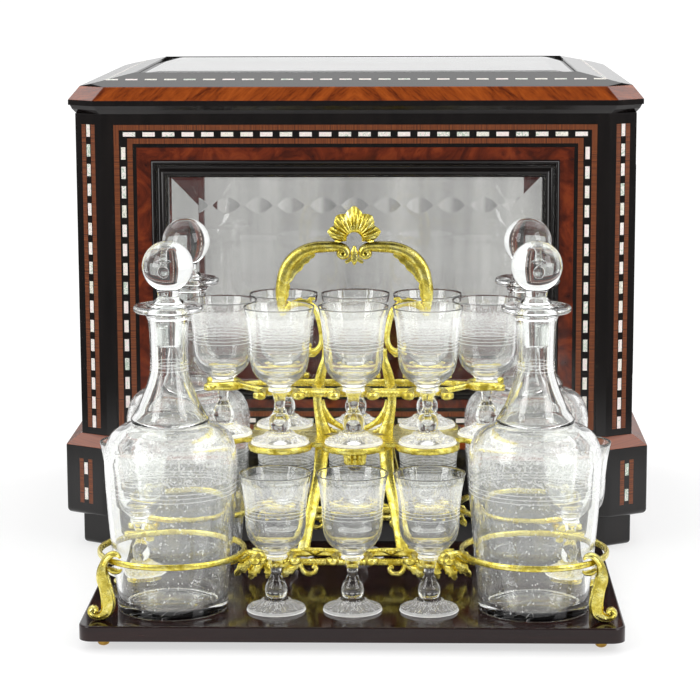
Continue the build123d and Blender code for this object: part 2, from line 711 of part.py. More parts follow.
# Arch of the handle: two straps that bend in to the middle and roll up in volutes, and the shell
# between them. Each bend's radius is a share of the arch's half span, with its turn in degrees.
arch_bend_shares = [(3.01, 6), (0.509, 62), (1.157, 28)]
volute_shares = [(0.0926, 250)]
arch_bends = [(share * arch_x, turn) for share, turn in arch_bend_shares]
volute_bends = [(share * arch_x, turn) for share, turn in volute_shares]
arch_foot = (arch_x, arch_level - 3 * arch_width)


def strap_end(start, heading, bends):
    """Where a chain of tangent arcs ends, and which way it then points."""
    point, way = Vector(*start), Vector(1, 0).rotate(Axis.Z, heading)
    for radius, turn in bends:
        arc = JernArc(point, way, radius, turn)
        point, way = arc @ 1, arc % 1
    return point, math.degrees(math.atan2(way.Y, way.X))


arch_half = ribbon(arch_foot, arch_heading, arch_bends, arch_width)
tip, tip_heading = strap_end(arch_foot, arch_heading, arch_bends)
arch_half += ribbon((tip.X, tip.Y), tip_heading, volute_bends, volute_width)
arch = upright(arch_half + mirror(arch_half, about=Plane.YZ), arch_thick)
keep("handle_arch", stand_place * arch)

# Lyre: two bowed posts on the shelf, each with a scroll out to its arch foot, and the U between
# them. Each bend's radius is a share of the handle's rise over the shelf.
post_bend_shares = [(1.609, 14), (1.18, -14.5), (0.1502, -100)]
post_bends = [(share * arch_rise, turn) for share, turn in post_bend_shares]
post = ribbon((post_x, shelf_height - overrun), 82, post_bends, post_width)
lyre = post + mirror(post, about=Plane.YZ)
loop = Circle(lyre_radius + lyre_width / 2) - Circle(lyre_radius - lyre_width / 2)
lyre += Pos(0, lyre_level) * (loop & Pos(0, -lyre_radius) * Rectangle(4 * lyre_radius, 2 * lyre_radius))
lyre &= Pos(0, shelf_height + arch_level / 2) * Rectangle(tray_width, arch_level)
lyre_solid = upright(lyre, post_thick) - arch
keep("lyre_posts", stand_place * lyre_solid)

# Shell between the volutes, with a stem that the volutes clasp. Each lobe is a direction and a reach.
lobe_shares = [(90, 1.0), (54, 0.82), (126, 0.82), (17, 0.86), (163, 0.86)]
shell = Circle(shell_hole + shell_lobe)
for direction, share in lobe_shares:
    reach = Vector(share * shell_reach - shell_lobe, 0).rotate(Axis.Z, direction)
    shell += bar((0, 0), (reach.X, reach.Y), 2 * shell_lobe)
shell = Pos(0, shell_level) * (shell - Circle(shell_hole))
shell += bar((0, shell_level - shell_hole - shell_lobe / 2), (0, shell_level - shell_drop), shell_stem)
keep("shell_finial", stand_place * (upright(shell, shell_thick) - arch))

# Gallery of the upper goblets: one plate round the lyre posts
upper_plate = shelf_height + plate_top - plate_thick
upper_spine = upper_row - collar_radius + gallery_bar * 3 / 10
tie_x = post_x + post_width / 6
gallery = bar((-tie_x, 0), (tie_x, 0), gallery_bar)
for way in (-1, 1):
    gallery += bar((-upper_pitch, way * upper_spine), (upper_pitch, way * upper_spine), gallery_bar)
    gallery += bar((way * tie_x, -upper_spine), (way * tie_x, upper_spine), 2 * gallery_bar)
    for along in (-1, 1):
        gallery += bar((way * upper_pitch, along * upper_spine),
                       (way * (upper_side - collar_radius + gallery_bar / 2), 0), gallery_bar)
for shape in collars(upper_places):
    gallery += shape
for shape in notches(upper_places):
    gallery -= shape
gallery_solid = extrude(Pos(0, 0, upper_plate) * gallery, amount=plate_thick)
keep("goblet_gallery", stand_place * (gallery_solid - lyre_solid))

# Each node is one file
os.makedirs("parts", exist_ok=True)
for name, solids in parts.items():
    export_step(Compound(children=solids, label=name), os.path.join("parts", name + ".step"))
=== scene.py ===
import math

import bmesh
import bpy
import numpy as np
from mathutils import Matrix, Vector


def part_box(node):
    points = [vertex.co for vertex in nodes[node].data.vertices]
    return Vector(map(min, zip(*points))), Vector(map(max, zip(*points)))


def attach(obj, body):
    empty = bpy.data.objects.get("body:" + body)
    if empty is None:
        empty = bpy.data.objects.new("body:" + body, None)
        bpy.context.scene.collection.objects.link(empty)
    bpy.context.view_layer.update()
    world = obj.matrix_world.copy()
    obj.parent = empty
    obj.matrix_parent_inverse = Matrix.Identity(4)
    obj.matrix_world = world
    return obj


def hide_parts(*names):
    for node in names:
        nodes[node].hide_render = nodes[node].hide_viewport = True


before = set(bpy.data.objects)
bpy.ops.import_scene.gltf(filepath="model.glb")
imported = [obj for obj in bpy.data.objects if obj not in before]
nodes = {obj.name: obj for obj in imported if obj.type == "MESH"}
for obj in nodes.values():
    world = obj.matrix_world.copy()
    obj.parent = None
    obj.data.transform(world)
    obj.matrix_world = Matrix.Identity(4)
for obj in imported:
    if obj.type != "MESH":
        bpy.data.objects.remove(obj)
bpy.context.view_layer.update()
scene = bpy.context.scene
scene.view_settings.view_transform = "Standard"
for bounce in ("max_bounces", "transmission_bounces", "transparent_max_bounces"):
    setattr(scene.cycles, bounce, 32)

# The view: a long lens a pace and a half before the tray, a little above the goblets and
# looking slightly down. Its direction is three small angles, in radians.
CAMERA_PLACE = (0.03911, -1.59946, 0.40412)
CAMERA_YAW, CAMERA_PITCH, CAMERA_ROLL = 0.0271, 0.1704, -0.0035
LENS_MM, SENSOR_MM = 125.0, 36.0

ahead = Vector((-math.sin(CAMERA_YAW) * math.cos(CAMERA_PITCH),
                math.cos(CAMERA_YAW) * math.cos(CAMERA_PITCH), -math.sin(CAMERA_PITCH)))
level = Vector((math.cos(CAMERA_YAW), math.sin(CAMERA_YAW), 0))
upward = level.cross(ahead)
right = level * math.cos(CAMERA_ROLL) + upward * math.sin(CAMERA_ROLL)
camera = bpy.data.objects.new("camera", bpy.data.cameras.new("camera"))
camera.data.lens, camera.data.sensor_width = LENS_MM, SENSOR_MM
camera.matrix_world = Matrix((right, right.cross(-ahead) * -1, -ahead)).transposed().to_4x4()
camera.location = CAMERA_PLACE
scene.collection.objects.link(camera)
scene.camera = camera


# The studio: a pale ground that keeps a soft shadow, white all round for the eye and for glass,
# a dimmer room for the polish to mirror, and soft boxes to the left, the right and overhead. In a
# mirror the ground is bright only round the object, so that ebony stays black.
def srgb(code):
    """Linear colour of an sRGB hex value."""
    shares = [int(code[i:i + 2], 16) / 255 for i in (1, 3, 5)]
    return [*(c / 12.92 if c <= 0.04045 else ((c + 0.055) / 1.055) ** 2.4 for c in shares), 1]


def add(tree, kind, links=None, **settings):
    """Adds a node with its settings, and a value or a link for each input that is named."""
    node = tree.nodes.new(kind)
    for name, value in settings.items():
        setattr(node, name, value)
    for socket, source in (links or {}).items():
        if isinstance(source, bpy.types.NodeSocket):
            tree.links.new(source, node.inputs[socket])
        else:
            node.inputs[socket].default_value = source
    return node


GROUND_SIZE = 60.0
SHADOW_SHARE, SHADOW_REACH = 0.45, (0.3, 0.62)
GROUND_GLOW = 1.12
MIRRORED_GROUND, MIRRORED_REACH = 0.15, (0.4, 0.62)
ROOM_DARK, ROOM_FRONT, ROOM_SIDE, ROOM_BACK = 0.06, 0.8, 0.65, 1.0

ground = bpy.data.objects.new("ground", bpy.data.meshes.new("ground"))
half = GROUND_SIZE / 2
ground.data.from_pydata([(-half, -half, 0), (half, -half, 0), (half, half, 0), (-half, half, 0)], [],
                        [(0, 1, 2, 3)])
scene.collection.objects.link(ground)
paper = bpy.data.materials.new("white_ground_paper")
paper.use_nodes = True
tree = paper.node_tree
tree.nodes.clear()
matt = add(tree, "ShaderNodeBsdfDiffuse", {"Color": srgb("#f4f4f4")})
rays = add(tree, "ShaderNodeLightPath")
spot = add(tree, "ShaderNodeTexCoord").outputs["Object"]
away = add(tree, "ShaderNodeVectorMath", {0: spot}, operation="LENGTH")
paper_end = add(tree, "ShaderNodeMapRange", {"Value": away.outputs["Value"], "From Min": MIRRORED_REACH[0],
                                             "From Max": MIRRORED_REACH[1], "To Min": GROUND_GLOW,
                                             "To Max": GROUND_GLOW * MIRRORED_GROUND})
mirrored_ray = add(tree, "ShaderNodeMath", {0: rays.outputs["Is Glossy Ray"],
                                            1: rays.outputs["Is Transmission Ray"]},
                   operation="SUBTRACT", use_clamp=True)
glow = add(tree, "ShaderNodeMix", {"Factor": mirrored_ray.outputs[0], 2: GROUND_GLOW,
                                   3: paper_end.outputs[0]}, data_type="FLOAT")
bright = add(tree, "ShaderNodeEmission", {"Color": (1, 1, 1, 1), "Strength": glow.outputs[0]})
open_share = add(tree, "ShaderNodeMapRange", {"Value": away.outputs["Value"], "From Min": SHADOW_REACH[0],
                                              "From Max": SHADOW_REACH[1], "To Min": 1 - SHADOW_SHARE,
                                              "To Max": 1.0})
straight = add(tree, "ShaderNodeMath", {0: 1.0, 1: rays.outputs["Is Diffuse Ray"]}, operation="SUBTRACT")
kept = add(tree, "ShaderNodeMath", {0: straight.outputs[0], 1: open_share.outputs[0]}, operation="MULTIPLY")
blend = add(tree, "ShaderNodeMixShader", {0: kept.outputs[0], 1: matt.outputs[0], 2: bright.outputs[0]})
add(tree, "ShaderNodeOutputMaterial", {"Surface": blend.outputs[0]})
ground.data.materials.append(paper)

world = bpy.data.worlds.new("studio_room")
scene.world = world
world.use_nodes = True
tree = world.node_tree
tree.nodes.clear()
rays = add(tree, "ShaderNodeLightPath")
seen = add(tree, "ShaderNodeMath", {0: rays.outputs["Is Camera Ray"], 1: rays.outputs["Is Transmission Ray"]},
           operation="MAXIMUM")
toward = add(tree, "ShaderNodeSeparateXYZ", {0: add(tree, "ShaderNodeTexCoord").outputs["Generated"]})
behind = add(tree, "ShaderNodeMapRange", {"Value": toward.outputs["Y"], "From Min": 0.3, "From Max": 0.75,
                                          "To Min": ROOM_DARK, "To Max": ROOM_BACK},
             interpolation_type="SMOOTHSTEP")
sideways = add(tree, "ShaderNodeMath", {0: toward.outputs["X"]}, operation="ABSOLUTE")
beside = add(tree, "ShaderNodeMapRange", {"Value": sideways.outputs[0], "From Min": 0.2, "From Max": 0.65,
                                          "To Min": ROOM_DARK, "To Max": ROOM_SIDE},
             interpolation_type="SMOOTHSTEP")
risen = add(tree, "ShaderNodeMapRange", {"Value": toward.outputs["Z"], "From Min": -0.02, "From Max": 0.08,
                                         "To Min": 0.0, "To Max": ROOM_FRONT})
ceiling = add(tree, "ShaderNodeMapRange", {"Value": toward.outputs["Z"], "From Min": 0.4, "From Max": 0.7,
                                           "To Min": 1.0, "To Max": 0.0})
window = add(tree, "ShaderNodeMath", {0: risen.outputs[0], 1: ceiling.outputs[0]}, operation="MULTIPLY")
room = add(tree, "ShaderNodeMath", {0: behind.outputs[0], 1: beside.outputs[0]}, operation="MAXIMUM")
room = add(tree, "ShaderNodeMath", {0: room.outputs[0], 1: window.outputs[0]}, operation="MAXIMUM")
strength = add(tree, "ShaderNodeMix", {"Factor": seen.outputs[0], 2: room.outputs[0], 3: 1.0},
               data_type="FLOAT")
back = add(tree, "ShaderNodeBackground", {"Color": (1, 1, 1, 1), "Strength": strength.outputs[0]})
add(tree, "ShaderNodeOutputWorld", {"Surface": back.outputs[0]})


def soft_box(name, place, aim, width, height, watts):
    lamp = bpy.data.lights.new(name, "AREA")
    lamp.shape, lamp.size, lamp.size_y, lamp.energy = "RECTANGLE", width, height, watts
    lamp_object = bpy.data.objects.new(name, lamp)
    lamp_object.location = place
    lamp_object.rotation_mode = "QUATERNION"
    lamp_object.rotation_quaternion = (Vector(aim) - Vector(place)).to_track_quat("-Z", "Y")
    scene.collection.objects.link(lamp_object)


soft_box("soft_box_left", (-1.3, -1.15, 0.85), (0, -0.15, 0.15), 0.75, 1.3, 14)
soft_box("soft_box_right", (1.3, -1.05, 0.85), (0, -0.15, 0.15), 0.75, 1.3, 13)
soft_box("soft_box_above", (0, 0.55, 1.9), (0, 0, 0.2), 3.8, 1.5, 34)


# Ebonised pearwood, stained black and French polished: a deep black that still shows a little
# grain where light grazes it. The socle, plinth, posts, walls and the lid's rim are made of it.
def finish_of(name, links):
    """A material with one principled surface, and its node tree."""
    made = bpy.data.materials.new(name)
    made.use_nodes = True
    made.node_tree.nodes.clear()
    surface = add(made.node_tree, "ShaderNodeBsdfPrincipled", links)
    add(made.node_tree, "ShaderNodeOutputMaterial", {"Surface": surface.outputs[0]})
    return made, made.node_tree, surface


def grain(tree, scale_mm, stretch, detail=6.0, rough=0.6, warp=0.0, turn=(0, 0, 0)):
    """Noise on object coordinates whose pattern repeats about every so many millimetres."""
    coords = add(tree, "ShaderNodeTexCoord").outputs["Object"]
    mapping = add(tree, "ShaderNodeMapping", {"Vector": coords, "Scale": stretch, "Rotation": turn})
    return add(tree, "ShaderNodeTexNoise", {"Vector": mapping.outputs[0], "Scale": 1000 / scale_mm,
                                            "Detail": detail, "Roughness": rough, "Distortion": warp})


def ramp(tree, factor, stops):
    """Colour ramp through (place, sRGB hex) stops."""
    made = add(tree, "ShaderNodeValToRGB", {0: factor})
    while len(made.color_ramp.elements) < len(stops):
        made.color_ramp.elements.new(0.5)
    for element, (place, code) in zip(made.color_ramp.elements, stops):
        element.position, element.color = place, srgb(code)
    return made.outputs[0]


def relief(tree, height, depth_mm, strength=1.0):
    return add(tree, "ShaderNodeBump", {"Height": height, "Distance": depth_mm / 1000,
                                        "Strength": strength}).outputs[0]


ebonised, tree, surface = finish_of("ebonised_pearwood", {"Roughness": 0.13, "IOR": 1.5,
                                                          "Specular IOR Level": 0.45})
fibre = grain(tree, 9.0, (1, 1, 0.12), 8.0, 0.65)
tree.links.new(ramp(tree, fibre.outputs[0], [(0.3, "#090707"), (0.7, "#151110")]),
               surface.inputs["Base Color"])
tree.links.new(relief(tree, fibre.outputs[0], 0.03, 0.25), surface.inputs["Normal"])

lining, tree, surface = finish_of("stained_mahogany_lining", {"Roughness": 0.34, "IOR": 1.5})
fibre = grain(tree, 14.0, (0.15, 0.15, 1), 8.0, 0.6, 0.6)
tree.links.new(ramp(tree, fibre.outputs[0], [(0.3, "#4a140f"), (0.55, "#7a2a20"), (0.75, "#93402e")]),
               surface.inputs["Base Color"])
tree.links.new(relief(tree, fibre.outputs[0], 0.05, 0.4), surface.inputs["Normal"])


def set_down(obj, body, slot, *replaced):
    """The piece rides on its body and stands for these CAD nodes, which it hides. The slot is not used."""
    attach(obj, body)
    if replaced:
        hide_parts(*replaced)
    return obj


def link_mesh(name, mesh, *materials):
    obj = bpy.data.objects.new(name, mesh)
    scene.collection.objects.link(obj)
    for made in materials:
        mesh.materials.append(made)
    return obj


def softened(name, node, ease_mm, body, slot, outside, inside=None, room=None):
    """A CAD node with its long outer edges eased, as sanding and polishing leave them. Faces that
    look into the room box can take a second finish."""
    mesh = nodes[node].data.copy()
    mesh.materials.clear()
    shape = bmesh.new()
    shape.from_mesh(mesh)
    bmesh.ops.remove_doubles(shape, verts=shape.verts, dist=1e-5)
    bmesh.ops.dissolve_limit(shape, angle_limit=math.radians(1), verts=shape.verts, edges=shape.edges)
    least_reach = 1.6e-3
    edges = [e for e in shape.edges if len(e.link_faces) == 2
             and e.calc_face_angle_signed() > math.radians(12)
             and min(f.calc_area() for f in e.link_faces) > least_reach * e.calc_length()]
    bmesh.ops.bevel(shape, geom=edges, offset=ease_mm / 1000, segments=2, profile=0.5, affect="EDGES",
                    clamp_overlap=True)
    if room:
        low, high = room
        for face in shape.faces:
            middle = face.calc_center_median()
            face.material_index = int(all(a - 2e-4 <= c <= b + 2e-4 for a, c, b in zip(low, middle, high)))
    bmesh.ops.triangulate(shape, faces=[f for f in shape.faces if len(f.verts) > 4])
    shape.to_mesh(mesh)
    shape.free()
    mesh.name = name
    obj = link_mesh(name, mesh, *([outside, inside] if inside else [outside]))
    return set_down(obj, body, slot, node)


frames_low, frames_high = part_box("wall_frames")
floor_low, floor_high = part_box("floor_board")
room_box = (Vector((floor_low.x, floor_low.y, floor_low.z)), Vector((floor_high.x, floor_high.y, 1)))
softened("socle", "base_socle", 0.5, "cabinet", "ebonised_wood", ebonised)
softened("plinth_carcase", "plinth", 0.6, "cabinet", "ebonised_wood", ebonised, lining, room_box)
softened("canted_posts", "corner_posts", 0.5, "cabinet", "ebonised_wood", ebonised, lining, room_box)
softened("wall_boards", "wall_frames", 0.3, "cabinet", "ebonised_wood", ebonised, lining, room_box)
softened("glazing_bead_frames", "glazing_beads", 0.4, "cabinet", "ebonised_wood", lining)
softened("lid_rim_frame", "lid_rim", 0.4, "lid", "ebonised_wood", ebonised)
softened("lid_rail_frame", "lid_rails", 0.4, "lid", "ebonised_wood", ebonised)
nodes["floor_board"].data.materials.clear()
nodes["floor_board"].data.materials.append(lining)

# Kingwood veneer: dark violet-brown streaks on an orange-brown ground. It is laid across the grain
# in the fine lines, and aslant and mirrored at the middle of each side on the two slopes.
case_middle = (frames_low + frames_high) / 2


def dress(node, made):
    nodes[node].data.materials.clear()
    nodes[node].data.materials.append(made)


def mirrored_coords(tree):
    """Object coordinates measured from the case's middle, alike on both sides of it."""
    coords = add(tree, "ShaderNodeTexCoord").outputs["Object"]
    centred = add(tree, "ShaderNodeVectorMath", {0: coords, 1: case_middle}, operation="SUBTRACT")
    return add(tree, "ShaderNodeVectorMath", {0: centred.outputs[0]}, operation="ABSOLUTE").outputs[0]


def streaked_veneer(name, across, along, streak_mm, stops, roughness=0.17):
    made, tree, surface = finish_of(name, {"Roughness": roughness, "IOR": 1.5})
    coords = mirrored_coords(tree)
    steps = [add(tree, "ShaderNodeVectorMath", {0: coords, 1: way}, operation="DOT_PRODUCT").outputs["Value"]
             for way in (across, along)]
    flat = add(tree, "ShaderNodeCombineXYZ", {0: steps[0], 1: steps[1]})
    stretched = add(tree, "ShaderNodeMapping", {"Vector": flat.outputs[0], "Scale": (1, 0.09, 1)})
    streak = add(tree, "ShaderNodeTexNoise", {"Vector": stretched.outputs[0], "Scale": 1000 / streak_mm,
                                              "Detail": 7.0, "Roughness": 0.75, "Distortion": 0.25})
    tree.links.new(ramp(tree, streak.outputs[0], stops), surface.inputs["Base Color"])
    tree.links.new(relief(tree, streak.outputs[0], 0.02, 0.2), surface.inputs["Normal"])
    return made


kingwood_stops = [(0.3, "#260d04"), (0.4, "#5e260c"), (0.5, "#7f3911"), (0.64, "#954817"), (0.8, "#70300e")]
kingwood_slant = streaked_veneer("kingwood_laid_aslant", (0.6, 0.6, 1.15), (0.8, 0.8, -0.8), 5.0,
                                 kingwood_stops)
softened("lid_slope_veneer", "lid_slope", 0.3, "lid", "kingwood", kingwood_slant)
softened("plinth_slope_veneer", "plinth_slope", 0.2, "cabinet", "kingwood", kingwood_slant)

# The fine lines are cut across the grain: it runs up and down in the lines that lie level, and
# to and fro in those that stand.
LEVEL_LINES_FROM_MIDDLE, LEVEL_LINES_SHIFT, ARRIS_FROM_MIDDLE = 0.0885, 0.0012, 0.1655
kingwood_line, tree, surface = finish_of("kingwood_cross_banding", {"Roughness": 0.3, "IOR": 1.5})
axes = add(tree, "ShaderNodeSeparateXYZ", {0: add(tree, "ShaderNodeTexCoord").outputs["Object"]})
mirrored_axes = add(tree, "ShaderNodeSeparateXYZ", {0: mirrored_coords(tree)})
height = add(tree, "ShaderNodeMath", {0: axes.outputs["Z"], 1: case_middle.z + LEVEL_LINES_SHIFT},
             operation="SUBTRACT")
off_middle = add(tree, "ShaderNodeMath", {0: height.outputs[0]}, operation="ABSOLUTE")
in_level = add(tree, "ShaderNodeMath", {0: off_middle.outputs[0], 1: LEVEL_LINES_FROM_MIDDLE},
               operation="GREATER_THAN")
in_wall = add(tree, "ShaderNodeMath", {0: mirrored_axes.outputs["X"], 1: ARRIS_FROM_MIDDLE},
              operation="LESS_THAN")
level_line = add(tree, "ShaderNodeMath", {0: in_level.outputs[0], 1: in_wall.outputs[0]},
                 operation="MULTIPLY")
along = add(tree, "ShaderNodeMath", {0: axes.outputs["X"], 1: axes.outputs["Y"]}, operation="ADD")
run = add(tree, "ShaderNodeMix", {"Factor": level_line.outputs[0], 2: axes.outputs["Z"], 3: along.outputs[0]},
          data_type="FLOAT")
cross = add(tree, "ShaderNodeTexNoise", {"W": run.outputs[0], "Scale": 1000 / 1.1, "Detail": 4.0,
                                         "Roughness": 0.7}, noise_dimensions="1D")
tree.links.new(ramp(tree, cross.outputs[0], [(0.3, "#381507"), (0.48, "#643013"), (0.62, "#80441e"),
                                             (0.8, "#622c11")]), surface.inputs["Base Color"])
tree.links.new(relief(tree, cross.outputs[0], 0.02, 0.3), surface.inputs["Normal"])
dress("kingwood_stringing", kingwood_line)

# Thuya burr: a deep red-brown veneer with curling figure and small dark eyes, cut in strips
# round each window and polished to a gloss.
thuya, tree, surface = finish_of("thuya_burr_veneer", {"Roughness": 0.15, "IOR": 1.5})
curl = grain(tree, 26.0, (1, 1, 1), 9.0, 0.66, 2.2)
eyes = add(tree, "ShaderNodeTexVoronoi", {"Vector": add(tree, "ShaderNodeTexCoord").outputs["Object"],
                                          "Scale": 1000 / 9.0, "Randomness": 1.0})
eye = add(tree, "ShaderNodeMapRange", {"Value": eyes.outputs["Distance"], "From Min": 0.05, "From Max": 0.3,
                                       "To Min": -0.12, "To Max": 0.0})
figure = add(tree, "ShaderNodeMath", {0: curl.outputs[0], 1: eye.outputs[0]}, operation="ADD")
tree.links.new(ramp(tree, figure.outputs[0], [(0.25, "#260a05"), (0.42, "#431607"), (0.54, "#61230c"),
                                              (0.66, "#783213"), (0.78, "#4a1b0a")]),
               surface.inputs["Base Color"])
dress("thuya_veneer", thuya)

# Mother-of-pearl dashes: slips of shell let into the black line, each with its own cast of silver,
# pink or green. The black between them is the ebony of the line.
DASH_LENGTH, DASH_WIDTH, DASH_THICK, DASH_PROUD, DASH_PITCH = 8.0, 2.8, 1.0, 0.05, 12.4
PEARL_LINE_SIDE, PEARL_LINE_TOP, PEARL_LINE_BOTTOM = 14.3, 13.1, 10.6
CANT_WIDTH, CANT_DEPTH = 18.0, 10.5
CANT_LINE_BOTTOM, CANT_LINE_TOP = 4.5, 7.0
PLINTH_PROUD, PLINTH_LINE_HALF = 10.0, 12.6
SLOPE_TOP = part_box("plinth_slope")[1].z
WALL_TOP = frames_high.z

shell, tree, surface = finish_of("mother_of_pearl", {"Roughness": 0.22, "IOR": 1.53})
slip = add(tree, "ShaderNodeAttribute", attribute_name="slip")
layers = grain(tree, 3.0, (1, 1, 1), 4.0, 0.6, 3.0)
cast = add(tree, "ShaderNodeMath", {0: slip.outputs["Fac"], 1: layers.outputs[0]}, operation="MULTIPLY_ADD")
cast.inputs[1].default_value = 0.62
tree.links.new(layers.outputs[0], cast.inputs[2])
tree.links.new(ramp(tree, cast.outputs[0], [(0.3, "#8f948a"), (0.45, "#c9cabb"), (0.6, "#eeeadf"),
                                            (0.72, "#dcc4c8"), (0.85, "#f5f1ea"), (1.0, "#a9b8a8")]),
               surface.inputs["Base Color"])


def wall_spots(half_x, half_y):
    """Middle of each wall's face, the way along it and the way out of it."""
    spots = []
    for along in (Vector((1, 0, 0)), Vector((0, 1, 0))):
        for side in (-1, 1):
            out = side * Vector((along.y, along.x, 0))
            middle = Vector((case_middle.x + out.x * half_x, case_middle.y + out.y * half_y, 0))
            spots.append((middle, along, out))
    return spots


def dash_lines(name, lines, material, body, slot, size, pitch):
    """Slips of one size along each (start, end, outward) line, evenly spread and flush with it."""
    mesh = bpy.data.meshes.new(name)
    mesh.from_pydata([p for start, end, _ in lines for p in (start, end)],
                     [(2 * i, 2 * i + 1) for i in range(len(lines))], [])
    outward = mesh.attributes.new("outward", "FLOAT_VECTOR", "POINT")
    outward.data.foreach_set("vector", [c for *_, out in lines for c in (*out, *out)])
    obj = link_mesh(name, mesh)
    tree = bpy.data.node_groups.new(name + "_lay_out", "GeometryNodeTree")
    for label, kind in (("Geometry", "NodeSocketGeometry"), ("Slip", "NodeSocketVector"),
                        ("Pitch", "NodeSocketFloat")):
        tree.interface.new_socket(label, in_out="INPUT", socket_type=kind)
    tree.interface.new_socket("Geometry", in_out="OUTPUT", socket_type="NodeSocketGeometry")
    given = add(tree, "NodeGroupInput")
    curve = add(tree, "GeometryNodeMeshToCurve", {"Mesh": given.outputs["Geometry"]})
    spread = add(tree, "GeometryNodeResampleCurve", {"Curve": curve.outputs[0],
                                                     "Length": given.outputs["Pitch"]}, mode="LENGTH")
    tangent = add(tree, "GeometryNodeInputTangent")
    out = add(tree, "GeometryNodeInputNamedAttribute", {"Name": "outward"}, data_type="FLOAT_VECTOR")
    facing = add(tree, "FunctionNodeAlignEulerToVector", {"Vector": out.outputs[0]}, axis="Z")
    turned = add(tree, "FunctionNodeAlignEulerToVector",
                 {"Rotation": facing.outputs[0], "Vector": tangent.outputs[0]}, axis="X", pivot_axis="Z")
    one = add(tree, "GeometryNodeMeshCube", {"Size": given.outputs["Slip"]})
    laid = add(tree, "GeometryNodeInstanceOnPoints", {"Points": spread.outputs[0], "Instance": one.outputs[0],
                                                      "Rotation": turned.outputs[0]})
    chance = add(tree, "FunctionNodeRandomValue", {"Seed": 7}, data_type="FLOAT")
    marked = add(tree, "GeometryNodeStoreNamedAttribute", {"Geometry": laid.outputs[0], "Name": "slip",
                                                           "Value": chance.outputs[1]},
                 data_type="FLOAT", domain="INSTANCE")
    real = add(tree, "GeometryNodeRealizeInstances", {"Geometry": marked.outputs[0]})
    coloured = add(tree, "GeometryNodeSetMaterial", {"Geometry": real.outputs[0], "Material": material})
    add(tree, "NodeGroupOutput", {"Geometry": coloured.outputs[0]})
    return bake(obj, tree, {"Slip": size, "Pitch": pitch}, body, slot)


def bake(obj, tree, values, body, slot):
    """Runs a node tree on a piece with these inputs, and keeps what it makes as a plain mesh."""
    modifier = obj.modifiers.new("made", "NODES")
    modifier.node_group = tree
    for item in tree.interface.items_tree:
        if item.in_out == "INPUT" and item.name in values:
            modifier[item.identifier] = values[item.name]
    made = bpy.data.meshes.new_from_object(obj.evaluated_get(bpy.context.evaluated_depsgraph_get()))
    obj.modifiers.clear()
    obj.data = made
    return set_down(obj, body, slot)


def line(start, end, out, trim_mm):
    """A line drawn in at both ends."""
    trim = (end - start).normalized() * trim_mm / 1000
    return start + trim, end - trim, out


half_x, half_y = (frames_high.x - frames_low.x) / 2, (frames_high.y - frames_low.y) / 2
arris_x, arris_y = half_x - CANT_WIDTH / 1000, half_y - CANT_DEPTH / 1000
slip_size, pitch = Vector((DASH_LENGTH, DASH_WIDTH, DASH_THICK)) / 1000, DASH_PITCH / 1000
sink = (DASH_THICK / 2 - DASH_PROUD) / 1000
lines = []
for spot, along, out in wall_spots(half_x, half_y):
    arris = arris_x if along.x else arris_y
    reach = arris - PEARL_LINE_SIDE / 1000
    low, high = SLOPE_TOP + PEARL_LINE_BOTTOM / 1000, WALL_TOP - PEARL_LINE_TOP / 1000
    corners = [spot - out * sink + along * u * reach + Vector((0, 0, z)) for u, z in
               ((-1, low), (1, low), (1, high), (-1, high))]
    for i in range(4):
        level_trim, upright_trim = DASH_LENGTH / 2, DASH_PITCH
        lines.append(line(corners[i], corners[(i + 1) % 4], out, upright_trim if i % 2 else level_trim))
plinth_low, plinth_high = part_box("plinth")
plinth_middle, plinth_reach = (plinth_low.z + plinth_high.z) / 2, PLINTH_LINE_HALF / 1000
cant_lines = [(0, SLOPE_TOP + CANT_LINE_BOTTOM / 1000, WALL_TOP - CANT_LINE_TOP / 1000),
              (PLINTH_PROUD / 1000, plinth_middle - plinth_reach, plinth_middle + plinth_reach)]
for sx in (-1, 1):
    for sy in (-1, 1):
        out = Vector((sx * CANT_DEPTH, sy * CANT_WIDTH, 0)).normalized()
        off_x, off_y = sx * (half_x + arris_x) / 2, sy * (half_y + arris_y) / 2
        middle = Vector((case_middle.x + off_x, case_middle.y + off_y, 0))
        for proud, low, high in cant_lines:
            at = middle + out * (proud - sink)
            lines.append(line(at + Vector((0, 0, low)), at + Vector((0, 0, high)), out, DASH_LENGTH / 2))
dash_lines("pearl_dashes", lines, shell, "cabinet", "mother_of_pearl", slip_size, pitch)
dress("pearl_banding", ebonised)

# The lid's dashes lie in the middle of its black line, on the rails' slope.
RAIL_PLAN, LID_LINE_HALF = 34.0, 1.5
lid_pearl_low, lid_pearl_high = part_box("lid_pearl_banding")
rails_low, rails_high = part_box("lid_rails")
rail_tilt = math.atan2(rails_high.z - rails_low.z, RAIL_PLAN / 1000)
into_line = LID_LINE_HALF / 1000
mid = (lid_pearl_low + lid_pearl_high) / 2
reach = (lid_pearl_high - lid_pearl_low) / 2 - Vector((into_line, into_line, 0))
height = rails_low.z + (lid_pearl_low.x + into_line - rails_low.x) * math.tan(rail_tilt)
lid_lines = []
for side in (-1, 1):
    for along in (Vector((1, 0, 0)), Vector((0, 1, 0))):
        across = Vector((along.y, along.x, 0)) * side
        out = across * math.sin(rail_tilt) + Vector((0, 0, math.cos(rail_tilt)))
        spot = Vector((mid.x + across.x * reach.x, mid.y + across.y * reach.y, height)) - out * sink
        half = along.dot(reach)
        lid_lines.append(line(spot - along * half, spot + along * half, out, DASH_LENGTH / 2))
dash_lines("lid_pearl_dashes", lid_lines, shell, "lid", "mother_of_pearl", slip_size, pitch)
dress("lid_pearl_banding", ebonised)

